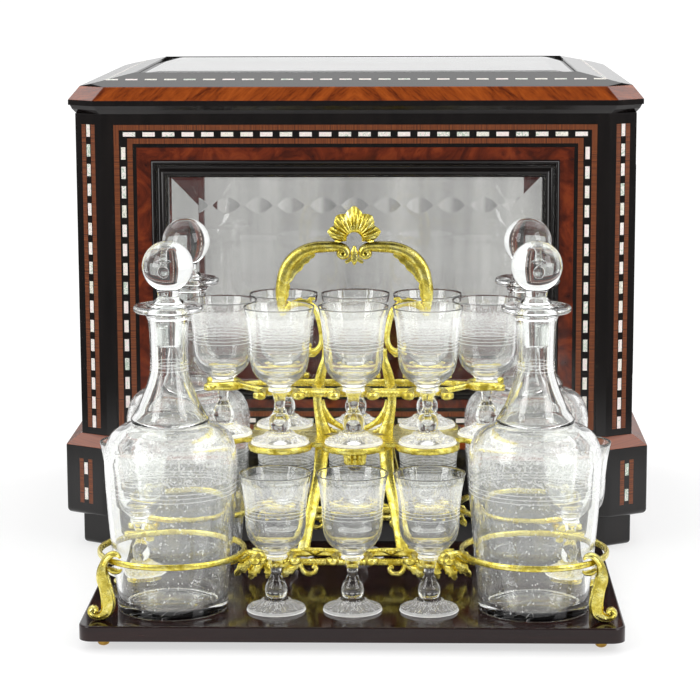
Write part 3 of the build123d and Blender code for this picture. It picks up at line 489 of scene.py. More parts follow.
# Window mouldings: ebonised pearwood run with a bead outside and a rolled inner edge, mitred at
# the corners and glued over the joint between the thuya and the pane's rebate.
MOULDING_SECTION = [(0.0, 0.3), (0.0, -1.6), (0.3, -2.3), (0.9, -2.8), (1.7, -3.0), (2.5, -2.8), (3.0, -2.2),
                    (3.3, -1.5), (4.0, -1.3), (4.9, -1.5), (5.8, -2.2), (6.7, -3.1), (7.8, -3.7), (8.9, -3.9),
                    (9.9, -3.7), (10.7, -3.1), (11.1, -2.2), (11.1, 6.8), (6.4, 6.8), (6.4, 0.3)]
MOULDING_FROM_ARRIS, MOULDING_FROM_TOP, MOULDING_FROM_FOOT = 32.2, 29.8, 25.0


def swept_loops(name, loops, material, sharp=35.0, close=True):
    """A skin through closed loops of as many points each, the last joined to the first."""
    count = len(loops[0])
    faces = []
    for i in range(len(loops) if close else len(loops) - 1):
        a, b = i * count, (i + 1) % len(loops) * count
        faces += [(a + j, a + (j + 1) % count, b + (j + 1) % count, b + j) for j in range(count)]
    return skin(name, [p for loop in loops for p in loop], faces, material, sharp)


def skin(name, points, faces, material, sharp=35.0):
    """A closed mesh whose faces point outwards, smooth except at edges sharper than this."""
    shape = bmesh.new()
    verts = [shape.verts.new(p) for p in points]
    for face in faces:
        shape.faces.new([verts[i] for i in face])
    bmesh.ops.remove_doubles(shape, verts=shape.verts, dist=1e-7)
    bmesh.ops.recalc_face_normals(shape, faces=shape.faces)
    mesh = bpy.data.meshes.new(name)
    shape.to_mesh(mesh)
    shape.free()
    mesh.shade_smooth()
    mesh.set_sharp_from_angle(angle=math.radians(sharp))
    return link_mesh(name, mesh, material)


def join(name, pieces, body, slot, *replaced):
    """Several pieces of one finish made one, which rides on its body."""
    for piece in pieces:
        piece.select_set(True)
    bpy.context.view_layer.objects.active = pieces[0]
    if len(pieces) > 1:
        bpy.ops.object.join()
    pieces[0].name = pieces[0].data.name = name
    bpy.ops.object.select_all(action="DESELECT")
    return set_down(pieces[0], body, slot, *replaced)


bpy.ops.object.select_all(action="DESELECT")
frames = []
for number, (spot, along, out) in enumerate(wall_spots(half_x, half_y)):
    arris = arris_x if along.x else arris_y
    loops = []
    for inset, depth in MOULDING_SECTION:
        u = arris - (MOULDING_FROM_ARRIS + inset) / 1000
        low = SLOPE_TOP + (MOULDING_FROM_FOOT + inset) / 1000
        high = WALL_TOP - (MOULDING_FROM_TOP + inset) / 1000
        loops.append([spot - out * depth / 1000 + along * s * u + Vector((0, 0, z))
                      for s, z in ((-1, low), (1, low), (1, high), (-1, high))])
    frames.append(swept_loops(f"moulding_{number}", loops, ebonised))
join("window_moulding_frames", frames, "cabinet", "ebonised_wood", "window_mouldings")

# Plate glass: bevelled, faintly grey panes. A row of olives, pointed at both ends, is cut along
# the inner edge of the top bevel; each has a painted highlight on one flank and painted shade on the other,
# laid into the glass's tint.
OLIVE_PITCH, OLIVE_LENGTH, OLIVE_HEIGHT, OLIVE_DEPTH, OLIVE_EDGE = 21.0, 18.5, 11.0, 0.5, 6.0
SIGHT_FROM_ARRIS, SIGHT_FROM_TOP, SIGHT_FROM_FOOT = 43.3, 40.9, 36.1
PANE_REACH, PANE_BEVEL, PANE_FACE, PANE_EDGE_FACE, PANE_BACK = 4.5, 23.6, 5.2, 9.6, 10.0
PLAIN, TOP_SIDE = 500.0, 2


def glass(name, tint, ior=1.5, roughness=0.0):
    """Clear glass that lets light through to what stands behind it, and casts no dark shadow."""
    made, tree, surface = finish_of(name, {"Base Color": srgb(tint), "Transmission Weight": 1.0, "IOR": ior,
                                           "Roughness": roughness})
    out = next(n for n in tree.nodes if n.type == "OUTPUT_MATERIAL")
    through = add(tree, "ShaderNodeBsdfTransparent", {"Color": srgb(tint)})
    rays = add(tree, "ShaderNodeLightPath")
    both = add(tree, "ShaderNodeMixShader", {0: rays.outputs["Is Shadow Ray"], 1: surface.outputs[0],
                                             2: through.outputs[0]})
    tree.links.new(both.outputs[0], out.inputs["Surface"])
    return made, tree, surface


def shares_of(tree, value, size):
    """The value's distance from nought as a share of a size."""
    near = add(tree, "ShaderNodeMath", {0: value}, operation="ABSOLUTE")
    return add(tree, "ShaderNodeMath", {0: near.outputs[0], 1: size}, operation="DIVIDE").outputs[0]


pane_glass, tree, surface = glass("bevelled_plate_glass", "#cfcfd1")
uv = add(tree, "ShaderNodeSeparateXYZ", {0: add(tree, "ShaderNodeUVMap", uv_map="pane").outputs[0]})
wave = add(tree, "ShaderNodeMath", {0: uv.outputs["X"], 1: OLIVE_PITCH / 2, 2: -OLIVE_PITCH / 2},
           operation="WRAP")
along = shares_of(tree, wave.outputs[0], OLIVE_LENGTH / 2)
bow = add(tree, "ShaderNodeMath", {0: along, 1: 2.0}, operation="POWER")
belly = add(tree, "ShaderNodeMath", {0: 1.0, 1: bow.outputs[0]}, operation="SUBTRACT")
off_row = shares_of(tree, uv.outputs["Y"], OLIVE_HEIGHT / 2)
olive = add(tree, "ShaderNodeMath", {0: belly.outputs[0], 1: off_row}, operation="SUBTRACT", use_clamp=True)
tree.links.new(relief(tree, olive.outputs[0], -OLIVE_DEPTH, 1.0), surface.inputs["Normal"])
# Across each olive the tint runs from light to dark: painted highlight and painted shade of its facets.
painted_light_along_olive = add(tree, "ShaderNodeMapRange", {"Value": wave.outputs[0], "From Min": -OLIVE_LENGTH / 2,
                                         "From Max": OLIVE_LENGTH / 2, "To Min": 0.0, "To Max": 1.0})
painted_olive_light = ramp(tree, painted_light_along_olive.outputs[0], [(0.0, "#f8f8f6"), (0.45, "#dededc"), (0.6, "#a4a4a4"),
                                         (1.0, "#8a8a8a")])
# Faint upright streaks in the pane's tint are a painted reflection.
painted_reflection_streaks = grain(tree, 34.0, (1, 1, 0.1), 3.0, 0.6)
painted_reflection_tint = ramp(tree, painted_reflection_streaks.outputs[0], [(0.35, "#bebebd"), (0.65, "#dbdbd9")])
painted_olive_share = add(tree, "ShaderNodeMath", {0: olive.outputs[0], 1: OLIVE_EDGE}, operation="MULTIPLY",
                use_clamp=True)
tint = add(tree, "ShaderNodeMix", {"Factor": painted_olive_share.outputs[0], 6: painted_reflection_tint, 7: painted_olive_light},
           data_type="RGBA")
tree.links.new(tint.outputs[2], surface.inputs["Base Color"])


def pane(name, spot, along, out, arris):
    """One upright pane: flat in the middle and bevelled to a thin edge."""
    rows = []
    flat = PANE_REACH - PANE_BEVEL
    for depth, grow in ((PANE_BACK, PANE_REACH), (PANE_EDGE_FACE, PANE_REACH), (PANE_FACE, flat)):
        u = arris - (SIGHT_FROM_ARRIS - grow) / 1000
        low = SLOPE_TOP + (SIGHT_FROM_FOOT - grow) / 1000
        high = WALL_TOP - (SIGHT_FROM_TOP - grow) / 1000
        rows.append([(spot - out * depth / 1000 + along * s * u + Vector((0, 0, z)), s * u * 1000)
                     for s, z in ((-1, low), (1, low), (1, high), (-1, high))])
    olive_row = WALL_TOP * 1000 - SIGHT_FROM_TOP + flat
    shape = bmesh.new()
    layer = shape.loops.layers.uv.new("pane")
    verts = [[shape.verts.new(p) for p, _ in row] for row in rows]
    spots = {v: (u, v.co.z * 1000 - olive_row)
             for row, given in zip(verts, rows) for v, (_, u) in zip(row, given)}
    faces = [verts[0], verts[2]]
    for i in (0, 1):
        faces += [[verts[i][k], verts[i][(k + 1) % 4], verts[i + 1][(k + 1) % 4], verts[i + 1][k]]
                  for k in range(4)]
    top_bevel = faces[2 + len(verts[0]) + TOP_SIDE]
    for loop in faces:
        for corner in shape.faces.new(loop).loops:
            corner[layer].uv = spots[corner.vert] if loop in (verts[2], top_bevel) else (0, PLAIN)
    bmesh.ops.recalc_face_normals(shape, faces=shape.faces)
    mesh = bpy.data.meshes.new(name)
    shape.to_mesh(mesh)
    shape.free()
    return link_mesh(name, mesh, pane_glass)


panes = [pane(f"pane_{number}", spot, along, out, arris_x if along.x else arris_y)
         for number, (spot, along, out) in enumerate(wall_spots(half_x, half_y))]
join("bevelled_panes", panes, "cabinet", "plate_glass", "window_panes")
lid_glass, tree, surface = glass("lid_plate_glass", "#eef2f0")
ripple = grain(tree, 60.0, (1, 1, 1), 1.0)
tree.links.new(relief(tree, ripple.outputs[0], 0.05, 0.3), surface.inputs["Normal"])
dress("lid_pane", lid_glass)

# Hinges: brass butts with their pins and countersunk screws, let into the wall and the rim.
hinge_brass, tree, surface = finish_of("lacquered_hinge_brass", {"Metallic": 1.0, "Roughness": 0.28})
tone = grain(tree, 6.0, (1, 1, 1), 5.0)
tree.links.new(ramp(tree, tone.outputs[0], [(0.3, "#8a6a2c"), (0.7, "#c79d4a")]),
               surface.inputs["Base Color"])
for node in ("case_hinge_leaves", "lid_hinge_leaves", "hinge_pins", "case_hinge_screws", "lid_hinge_screws"):
    dress(node, hinge_brass)

# Tray: dark polished rosewood, nearly black, with a reddish grain that shows in the reflections.
# It stands on four small turned ball knobs of brass.
tray_wood, tree, surface = finish_of("polished_rosewood", {"Roughness": 0.08, "IOR": 1.5,
                                                           "Specular IOR Level": 0.35})
fibre = grain(tree, 12.0, (0.05, 1, 1), 8.0, 0.65, 0.5)
tree.links.new(ramp(tree, fibre.outputs[0], [(0.3, "#0f0707"), (0.55, "#1f0f0e"), (0.75, "#2c1613")]),
               surface.inputs["Base Color"])
softened("tray_board", "tray", 0.4, "stand", "tray_wood", tray_wood)


def gilt_finish(name, painted_top_shade):
    """Gilding with brighter high spots. Faces that look up are darkened by painted shade, as far as the last
    argument says.
    """
    made, tree, surface = finish_of(name, {"Metallic": 1.0})
    wear = grain(tree, 5.0, (1, 1, 1), 6.0, 0.6, 0.4)
    fine = grain(tree, 1.1, (1, 1, 1), 3.0, 0.6)
    tone = ramp(tree, wear.outputs[0], [(0.3, "#aa942a"), (0.5, "#e4d364"), (0.7, "#f6efa2")])
    facing = add(tree, "ShaderNodeSeparateXYZ", {0: add(tree, "ShaderNodeNewGeometry").outputs["Normal"]})
    # Upward faces are mixed towards a dark olive: painted shade on the tops.
    top_shade_share = add(tree, "ShaderNodeMapRange", {"Value": facing.outputs["Z"], "From Min": 0.25, "From Max": 0.8,
                                              "To Min": 0.0, "To Max": painted_top_shade})
    colour = add(tree, "ShaderNodeMix", {"Factor": top_shade_share.outputs[0], 6: tone, 7: srgb("#4a431c")},
                 data_type="RGBA")
    rubbed = add(tree, "ShaderNodeMapRange", {"Value": wear.outputs[0], "From Min": 0.3, "From Max": 0.7,
                                              "To Min": 0.34, "To Max": 0.17})
    tree.links.new(colour.outputs[2], surface.inputs["Base Color"])
    tree.links.new(rubbed.outputs[0], surface.inputs["Roughness"])
    tree.links.new(relief(tree, fine.outputs[0], 0.25, 0.7), surface.inputs["Normal"])
    return made


gilt = gilt_finish("chased_gilt_brass", 0.0)

tray_low, tray_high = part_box("tray")
STAND = Vector(((tray_low.x + tray_high.x) / 2, (tray_low.y + tray_high.y) / 2, tray_high.z))


def stand_point(x, y, z):
    """A place on the stand, from the middle of the tray's top in millimetres."""
    return STAND + Vector((x, y, z)) / 1000


def fair(points, steps=8):
    """Smooth run through rows of numbers, the first values of which are a place."""
    rows = np.array(points, float)
    padded = np.vstack([2 * rows[0] - rows[1], rows, 2 * rows[-1] - rows[-2]])
    out = []
    for i in range(1, len(padded) - 2):
        a, b, c, d = padded[i - 1:i + 3]
        for t in np.linspace(0, 1, steps, endpoint=False):
            out.append(0.5 * (2 * b + (c - a) * t + (2 * a - 5 * b + 4 * c - d) * t ** 2
                              + (3 * b - a - 3 * c + d) * t ** 3))
    return np.array(out + [rows[-1]])


INSIDE = 1000.0


def lathe(name, runs, centre, material, segments=64, steps=6, closed=False):
    """Turned piece from runs of (radius, height) points; each run is smooth, and they meet at an
    edge. Its UV map is in millimetres round and up, and shifted a long way up past the brim."""
    outline = []
    for run in runs:
        smooth_run = fair(run, steps) if len(run) > 2 else np.array(run, float)
        outline += [p for p in smooth_run[(1 if outline else 0):]]
    x, y, z = centre
    shape = bmesh.new()
    uv = shape.loops.layers.uv.new("turned")
    rings = []
    for r, h in outline:
        if r < 1e-6:
            rings.append([shape.verts.new(stand_point(x, y, z + h))])
        else:
            rings.append([shape.verts.new(stand_point(x + r * math.cos(a), y + r * math.sin(a), z + h))
                          for a in (2 * math.pi * k / segments for k in range(segments))])
    pairs = list(zip(range(len(rings)), range(1, len(rings)))) + ([(len(rings) - 1, 0)] if closed else [])
    widest = max(r for r, _ in outline)
    brim = max(range(len(outline)), key=lambda ring: outline[ring][1])
    for i, j in pairs:
        a, b = rings[i], rings[j]
        for k in range(segments):
            n = (k + 1) % segments
            loop = [a[k % len(a)], a[n % len(a)], b[n % len(b)], b[k % len(b)]]
            spots = [(k, i), (k + 1, i), (k + 1, j), (k, j)]
            keep = [m for m in range(4) if loop[m] not in loop[:m]]
            if len(keep) < 3:
                continue
            face = shape.faces.new([loop[m] for m in keep])
            for corner, m in zip(face.loops, keep):
                turn, ring = spots[m]
                corner[uv].uv = (2 * math.pi * widest * turn / segments,
                                 outline[ring][1] + INSIDE * (i >= brim))
    bmesh.ops.recalc_face_normals(shape, faces=shape.faces)
    mesh = bpy.data.meshes.new(name)
    shape.to_mesh(mesh)
    shape.free()
    mesh.shade_smooth()
    mesh.set_sharp_from_angle(angle=math.radians(50))
    return link_mesh(name, mesh, material)


KNOB_X, KNOB_Y = 142.9, 86.0
KNOB = [[(0, 0), (1.7, 0)], [(1.7, 0), (3.0, 0.8), (3.5, 2.2), (3.3, 3.5), (2.6, 4.6), (2.2, 5.2)],
        [(2.2, 5.2), (3.0, 5.8)], [(3.0, 5.8), (1.4, 6.0), (1.4, 9.0)], [(1.4, 9.0), (0, 9.0)]]
# The knobs take the darker hinge brass in place of the gilt: painted shade for the shadow under the tray.
knobs = [lathe(f"knob_{i}", KNOB, (sx * KNOB_X, sy * KNOB_Y, -STAND.z * 1000), hinge_brass, 32)
         for i, (sx, sy) in enumerate(((-1, -1), (1, -1), (-1, 1), (1, 1)))]
join("ball_knobs", knobs, "stand", "gilt_brass", "tray_knobs")

# Decanter rings: cast bands, flat on top and rounded inside, one round each decanter. Each is held
# by a corner foot outside and by a leaf of the gallery inside.
RING_SECTION = [(41.0, 0.6), (41.2, 0.0), (41.9, -0.2), (43.0, 0.0), (43.5, 0.8), (43.5, 2.4), (43.1, 3.2),
                (42.2, 3.4), (41.3, 3.2), (41.0, 2.6)]
DECANTER_X, DECANTER_Y, RING_LEVEL = 105.5, 56.5, 32.5
corners = {"front_left": (-1, -1), "front_right": (1, -1), "back_left": (-1, 1), "back_right": (1, 1)}
rings = [lathe(f"ring_{c}", [RING_SECTION + RING_SECTION[:1]], (sx * DECANTER_X, sy * DECANTER_Y, RING_LEVEL),
               gilt, 96, 3) for c, (sx, sy) in corners.items()]
join("cast_rings", rings, "stand", "gilt_brass", "decanter_rings")


# Corner feet: chased straps that hook over the ring with a small leaf, swell outwards, narrow at the
# waist and end in a scroll that stands on the tray.
def strap(name, stations, side, fluted=0.0, flutes=5, steps=8, around=20, square=0.75, finish=gilt):
    """A cast strap along smooth (x, y, z, width, thickness) stations. Its width lies in the bend,
    its thickness along the side vector, and flutes can run along it. It is round where the power
    square is one, and squarer below that."""
    rows = fair(stations, steps)
    spots, widths, thicks = rows[:, :3], rows[:, 3], rows[:, 4]
    side = np.array(side, float) / np.linalg.norm(side)
    ways = np.gradient(spots, axis=0)
    ways /= np.linalg.norm(ways, axis=1)[:, None]
    loops = []
    for spot, way, width, thick in zip(spots, ways, widths, thicks):
        across = np.cross(side, way)
        across /= np.linalg.norm(across)
        upright = np.cross(way, across)
        loop = []
        for k in range(around):
            a = 2 * math.pi * k / around
            c, s = math.cos(a), math.sin(a)
            swell = 1 - fluted * (0.5 + 0.5 * math.cos(flutes * 2 * a))
            c, s = math.copysign(abs(c) ** square, c) * swell, math.copysign(abs(s) ** square, s) * swell
            p = spot + across * c * max(width, 0.05) / 2 + upright * s * max(thick, 0.05) / 2
            loop.append(stand_point(*p))
        loops.append(loop)
    points = [p for loop in loops for p in loop]
    ends = [stand_point(*spots[0]), stand_point(*spots[-1])]
    faces = []
    for i in range(len(loops) - 1):
        a, b = i * around, (i + 1) * around
        faces += [(a + j, a + (j + 1) % around, b + (j + 1) % around, b + j) for j in range(around)]
    first, last = len(points), len(points) + 1
    tail = (len(loops) - 1) * around
    faces += [(first, (j + 1) % around, j) for j in range(around)]
    faces += [(last, tail + j, tail + (j + 1) % around) for j in range(around)]
    return skin(name, points + ends, faces, finish, 60.0)


def mirrored(points, sx, sy):
    """The same rows of numbers on another side or corner of the stand."""
    return [(sx * x, sy * y, *rest) for x, y, *rest in points]


FOOT_Y = 86.0
FOOT_LINE = [(x, FOOT_Y, z, width, thick) for x, z, width, thick in (
    (132.2, 36.6, 1.4, 4.0), (133.9, 38.4, 2.6, 5.4), (136.8, 38.8, 3.7, 6.2), (139.8, 36.8, 4.3, 6.6),
    (141.9, 33.0, 5.0, 7.0), (142.8, 28.6, 6.6, 7.4), (142.4, 24.4, 7.8, 7.4), (141.3, 20.2, 7.6, 7.4),
    (140.3, 15.6, 8.0, 7.6), (139.6, 10.6, 8.4, 7.8), (140.3, 6.2, 7.8, 7.8), (142.4, 3.6, 6.2, 7.6),
    (145.8, 2.4, 4.4, 7.2), (149.0, 3.2, 3.7, 7.0), (150.1, 5.5, 3.5, 7.0), (148.4, 7.1, 3.2, 6.8),
    (146.7, 6.0, 2.8, 6.4), (147.5, 4.7, 2.2, 6.0))]
LEAF_LINE = [(x, FOOT_Y, z, width, thick) for x, z, width, thick in (
    (139.6, 30.6, 2.0, 4.6), (136.6, 29.0, 3.4, 5.6), (133.6, 28.6, 2.8, 5.0), (131.6, 29.6, 1.2, 3.0))]
feet = []
for c, (sx, sy) in corners.items():
    feet.append(strap(f"foot_{c}", mirrored(FOOT_LINE, sx, sy), (0, 1, 0), 0.12, 5))
    feet.append(strap(f"foot_leaf_{c}", mirrored(LEAF_LINE, sx, sy), (0, 1, 0), 0.1, 3))
join("scrolled_feet", feet, "stand", "gilt_brass", "corner_feet")

# Lower galleries: a beaded rail in front and one behind, with scrolled arms that curl round each
# goblet's stem, small curled feet below and leaf clusters where they meet the rings.
RAIL_LEVEL, BAND_LEVEL = 26.6, 31.0
LOWER_PITCH, LOWER_ROW, SPINE = 44.5, 63.0, 52.5
ARM_STATIONS = ((176, 10.0, 4.4, 1.0), (150, 9.9, 5.2, 1.1), (118, 9.9, 5.4, 1.1), (88, 10.1, 4.8, 1.0),
                (64, 10.7, 4.2, 0.95), (50, 12.9, 3.6, 0.9), (52, 15.0, 3.2, 0.85), (62, 15.8, 2.8, 0.75),
                (70, 14.6, 2.3, 0.65), (66, 13.6, 1.7, 0.5))


def collar_arms(name, x, y, level, out, tall=5.2):
    """The two arms that open away from the stand and curl back beside a stem."""
    arms = []
    base = math.atan2(out[1], out[0])
    for hand in (-1, 1):
        stations = []
        for turn, radius, width, share in ARM_STATIONS:
            a = base + hand * math.radians(turn)
            stations.append((x + radius * math.cos(a), y + radius * math.sin(a),
                             level + 0.8 * math.sin(math.radians(turn)), width, tall * share))
        arms.append(strap(f"{name}_{hand}", stations, (0, 0, 1), 0.14, 3, 6, 16))
    return arms


def beaded_rail(name, start, end, bead, tall, width):
    """A straight rail whose edge swells to a bead at even steps."""
    start, end = Vector(start), Vector(end)
    count = 2 * max(2, round((end - start).length / bead)) + 1
    stations = []
    for i in range(count):
        swell = 1.0 if i % 2 else 0.74
        stations.append((*start.lerp(end, i / (count - 1)), width * swell, tall * (0.5 + 0.5 * swell)))
    return strap(name, stations, (0, 0, 1), 0.0, 1, 3, 12)


def leaf(name, root, tip, bend, width, side, lobes=4, steps=5):
    """A lobed acanthus leaf from root to tip that bows by the bend vector."""
    root, tip, bend = Vector(root), Vector(tip), Vector(bend)
    stations = []
    count = 2 * lobes + 1
    for i in range(count):
        t = i / (count - 1)
        p = root.lerp(tip, t) + bend * math.sin(math.pi * t)
        swell = math.sin(math.pi * (0.12 + 0.86 * t)) ** 0.7
        notch = 1.0 if i % 2 else 0.72
        stations.append((*p, width * swell * notch, 1.0 + width * 0.22 * swell))
    return strap(name, stations, side, 0.2, 2, steps, 14)


def leaves(name, rows, sx, sy, side, lobes=4):
    """Leaves from (root, tip, bend, width) rows, on their own side or corner of the stand."""
    return [leaf(f"{name}_{k}", *mirrored(place, sx, sy), width, side, lobes)
            for k, (*place, width) in enumerate(rows)]


# The rails run straight, the bands above them sway out and down between the goblets.
RAIL_END, RAIL_Y, BAND_END, BAND_WAVE = 60.0, 55.2, 59.0, 1.0
RING_BOSS = [(62.4, 57.0, 27.0, 6.4, 6.4), (62.4, 57.0, 29.5, 5.2, 5.2), (62.4, 57.0, 32.6, 5.8, 5.8)]
CLUSTER = [((51.5, 57.0, 27.5), (68.5, 61.0, 19.6), (2.5, 3, 2.0), 9.0),
           ((55.0, 57.0, 29.5), (71.0, 60.0, 26.4), (1, 3, 3.0), 7.0),
           ((50.0, 57.5, 27.5), (59.5, 60.5, 17.6), (2.5, 3, 0), 7.5),
           ((49.0, 57.0, 27.5), (50.0, 60.5, 18.4), (-0.5, 3, 0), 6.5),
           ((30.5, 56.5, 26.0), (41.5, 60.0, 19.0), (2.0, 2, -0.8), 6.5),
           ((33.5, 56.5, 27.0), (42.5, 60.0, 23.0), (1.0, 2, 0.4), 5.0)]
RING_SWIRL = [(66.4, 55.0, 30.2, 3.6, 5.4), (60.6, 57.6, 31.6, 4.8, 5.6), (54.4, 60.6, 31.8, 5.0, 5.4),
              (50.6, 65.0, 31.0, 4.2, 4.8), (53.2, 68.6, 30.2, 3.2, 4.0), (56.6, 66.6, 30.2, 2.2, 3.2)]
CROSSING_LEAVES = [((22.2, 54.5, 31.0), (30.0, 57.0, 34.4), (0, 1, 1.2), 4.6),
                   ((22.2, 54.5, 31.0), (14.6, 57.0, 34.0), (0, 1, 1.2), 4.6)]
CURL = [(30.2, 55.4, 26.8, 3.4, 4.8), (30.0, 56.0, 23.6, 3.0, 4.8), (28.2, 56.4, 20.8, 2.9, 4.8),
        (25.0, 56.6, 19.8, 2.8, 4.6), (22.3, 56.6, 20.9, 2.7, 4.4), (21.4, 56.5, 23.0, 2.9, 4.0),
        (22.6, 56.4, 24.2, 2.6, 3.6), (23.8, 56.4, 23.4, 1.4, 3.0)]
gallery = []
for row in (-1, 1):
    gallery.append(beaded_rail(f"lower_rail_{row}", (-RAIL_END, row * RAIL_Y, RAIL_LEVEL),
                               (RAIL_END, row * RAIL_Y, RAIL_LEVEL), 2.0, 4.4, 3.4))
    band = []
    for x in np.linspace(-BAND_END, BAND_END, 23):
        sway = BAND_WAVE * math.cos(math.radians(x / LOWER_PITCH * 360))
        band.append((x, row * (SPINE - 1.6 - sway), BAND_LEVEL - 0.7 * sway, 3.6, 5.4))
    gallery.append(strap(f"lower_band_{row}", band, (0, 0, 1), 0.16, 3, 4, 18))
    for i in (-1, 0, 1):
        gallery += collar_arms(f"lower_arm_{row}_{i}", i * LOWER_PITCH, row * LOWER_ROW, BAND_LEVEL - 0.6,
                               (0, row))
    for sx in (-1, 1):
        gallery.append(strap(f"ring_boss_{row}_{sx}", mirrored(RING_BOSS, sx, row), (0, 1, 0)))
        gallery += leaves(f"cluster_{row}_{sx}", CLUSTER, sx, row, (0, 1, 0.3))
        gallery.append(strap(f"ring_swirl_{row}_{sx}", mirrored(RING_SWIRL, sx, row), (0, 0, 1), 0.12, 3))
        gallery += leaves(f"crossing_leaf_{row}_{sx}", CROSSING_LEAVES, sx, row, (0, 0.4, 1), 3)
        gallery.append(strap(f"curl_{row}_{sx}", mirrored(CURL, sx, row), (0, 1, 0), 0.1, 3))
join("lower_gallery_castings", gallery, "stand", "gilt_brass", "lower_galleries")

# Side collars: the same curling arms under the rings at either end, each over a raised dished seat
# that lifts its goblet from the tray.
SIDE_X, SIDE_LEVEL, SEAT_TOP = 133.0, 30.6, 5.4
SIDE_TIE = [(x, y, SIDE_LEVEL, width, 3.0) for x, y, width in (
    (123.6, -18.4, 5.6), (124.2, -9.0, 4.2), (124.0, 0, 5.0), (124.2, 9.0, 4.2), (123.6, 18.4, 5.6))]
SEAT = [[(0, 0), (14.0, 0)], [(14.0, 0), (14.2, 0.6), (13.0, 1.4)], [(13.0, 1.4), (11.4, 2.6), (12.6, 4.0)],
        [(12.6, 4.0), (14.0, 4.8), (13.8, SEAT_TOP)], [(13.8, SEAT_TOP), (0, SEAT_TOP)]]
side_pieces, seats = [], []
for sx in (-1, 1):
    side_pieces += collar_arms(f"side_arm_{sx}", sx * SIDE_X, 0, SIDE_LEVEL, (sx, 0), 4.2)
    side_pieces.append(strap(f"side_tie_{sx}", mirrored(SIDE_TIE, sx, 1), (0, 0, 1), 0.1, 3))
    seats.append(lathe(f"seat_{sx}", SEAT, (sx * SIDE_X, 0, 0), gilt, 48))
join("side_collar_castings", side_pieces, "stand", "gilt_brass", "side_collars")
join("dished_seats", seats, "stand", "gilt_brass", "side_seats")

# Legs: four ribbed straps that bow in from the galleries to the shelf of the upper goblets.
LEG_LINE = [(29.8, 51.0, 29.0, 8.0, 4.6), (26.8, 44.5, 44.0, 7.0, 4.2), (23.6, 36.5, 59.0, 7.2, 4.2),
            (20.4, 28.5, 73.0, 8.2, 4.2), (18.8, 20.4, 88.4, 9.2, 4.6)]
legs = [strap(f"leg_{c}", mirrored(LEG_LINE, sx, sy), (0, 1, 0.55), 0.14, 3)
        for c, (sx, sy) in corners.items()]
join("bowed_legs", legs, "stand", "gilt_brass", "shelf_legs")

# Upper shelf: a pierced plate with a beaded, scalloped edge, and a leafy drop under its middle.
softened("pierced_shelf", "goblet_shelf", 0.5, "stand", "gilt_brass", gilt)
UPPER_PITCH, UPPER_ROW, UPPER_SIDE = 43.6, 26.0, 79.0
SHELF_TOP, SHELF_EDGE, SHELF_RADIUS, SHELF_BEADS = 91.5, 89.0, 17.8, 32
edges = []
shelf_rounds = [(i * UPPER_PITCH, sy * UPPER_ROW, 90 * sy, 96) for sy in (-1, 1) for i in (-1, 0, 1)]
shelf_rounds += [(sx * UPPER_SIDE, 0, 0 if sx > 0 else 180, 110) for sx in (-1, 1)]
for number, (x, y, middle, reach) in enumerate(shelf_rounds):
    stations = []
    for step in range(SHELF_BEADS + 1):
        a = math.radians(middle + reach * (2 * step / SHELF_BEADS - 1))
        swell = 1.0 if step % 2 else 0.85
        stations.append((x + SHELF_RADIUS * math.cos(a), y + SHELF_RADIUS * math.sin(a), SHELF_EDGE,
                         2.2 * swell, 2.8 * swell))
    edges.append(strap(f"shelf_edge_{number}", stations, (0, 0, 1), 0.0, 1, 3, 12))
for k in range(6):
    a = math.radians(60 * k)
    place = [(r * math.cos(a), r * math.sin(a), z) for r, z in ((2.5, 86.5), (1.2, 69.5), (3.2, -2.0))]
    edges.append(leaf(f"drop_leaf_{k}", *place, 5.0, (-math.sin(a), math.cos(a), 0), 4))
join("shelf_trim", edges, "stand", "gilt_brass")

# Lyre: two posts that bow out from the shelf and scroll over to the foot of the handle, with the
# curved yoke of the lyre hung between them.
POST_LINE = [(18.6, 0, 91.5, 9.8, 4.8), (19.6, 0, 96.0, 8.2, 4.6), (21.2, 0, 103.0, 6.4, 4.4),
             (22.2, 0, 110.0, 5.8, 4.2), (22.2, 0, 117.0, 5.8, 4.2), (20.9, 0, 124.4, 6.6, 4.4),
             (19.4, 0, 131.0, 6.0, 4.4), (17.8, 0, 137.4, 4.6, 4.2), (18.2, 0, 143.6, 2.6, 3.6)]
SCROLL_LINE = [(42.7, 0, 164.6, 3.6, 4.4), (39.0, 0, 169.0, 4.6, 4.8), (33.8, 0, 171.2, 4.8, 4.8),
               (28.6, 0, 171.0, 4.6, 4.8), (24.4, 0, 168.6, 4.2, 4.6), (22.0, 0, 164.4, 4.0, 4.4),
               (20.4, 0, 158.0, 3.8, 4.4), (19.4, 0, 151.0, 3.8, 4.4), (20.2, 0, 145.8, 3.8, 4.4),
               (23.2, 0, 142.4, 3.8, 4.4), (26.6, 0, 142.6, 3.4, 4.2), (27.5, 0, 145.0, 2.8, 4.0),
               (25.8, 0, 146.0, 2.0, 3.6)]
YOKE_LINE = [(19.0 * math.cos(math.radians(a)), 0, 113.0 + 19.0 * math.sin(math.radians(a)), w, 3.6)
             for a, w in ((-2, 1.6), (-20, 3.0), (-45, 3.6), (-70, 3.6), (-90, 3.8), (-110, 3.6), (-135, 3.6),
                          (-160, 3.0), (-178, 1.6))]
LYRE_LEAVES = [((37.0, 0, 168.5), (31.0, 0, 174.0), (-0.5, 0, 1.2), 3.6),
               ((30.0, 0, 170.5), (23.2, 0, 173.4), (-0.5, 0, 1.4), 3.4),
               ((20.2, 0, 144.0), (29.6, 0, 139.4), (-0.4, 0, -1.8), 3.4),
               ((21.4, 0, 113.0), (12.6, 0, 96.6), (2.0, 0, -1.2), 3.6),
               ((17.6, 0, 97.0), (10.6, 0, 92.6), (0.8, 0, -0.6), 4.0)]
lyre = [strap("yoke", YOKE_LINE, (0, 1, 0), 0.12, 3)]
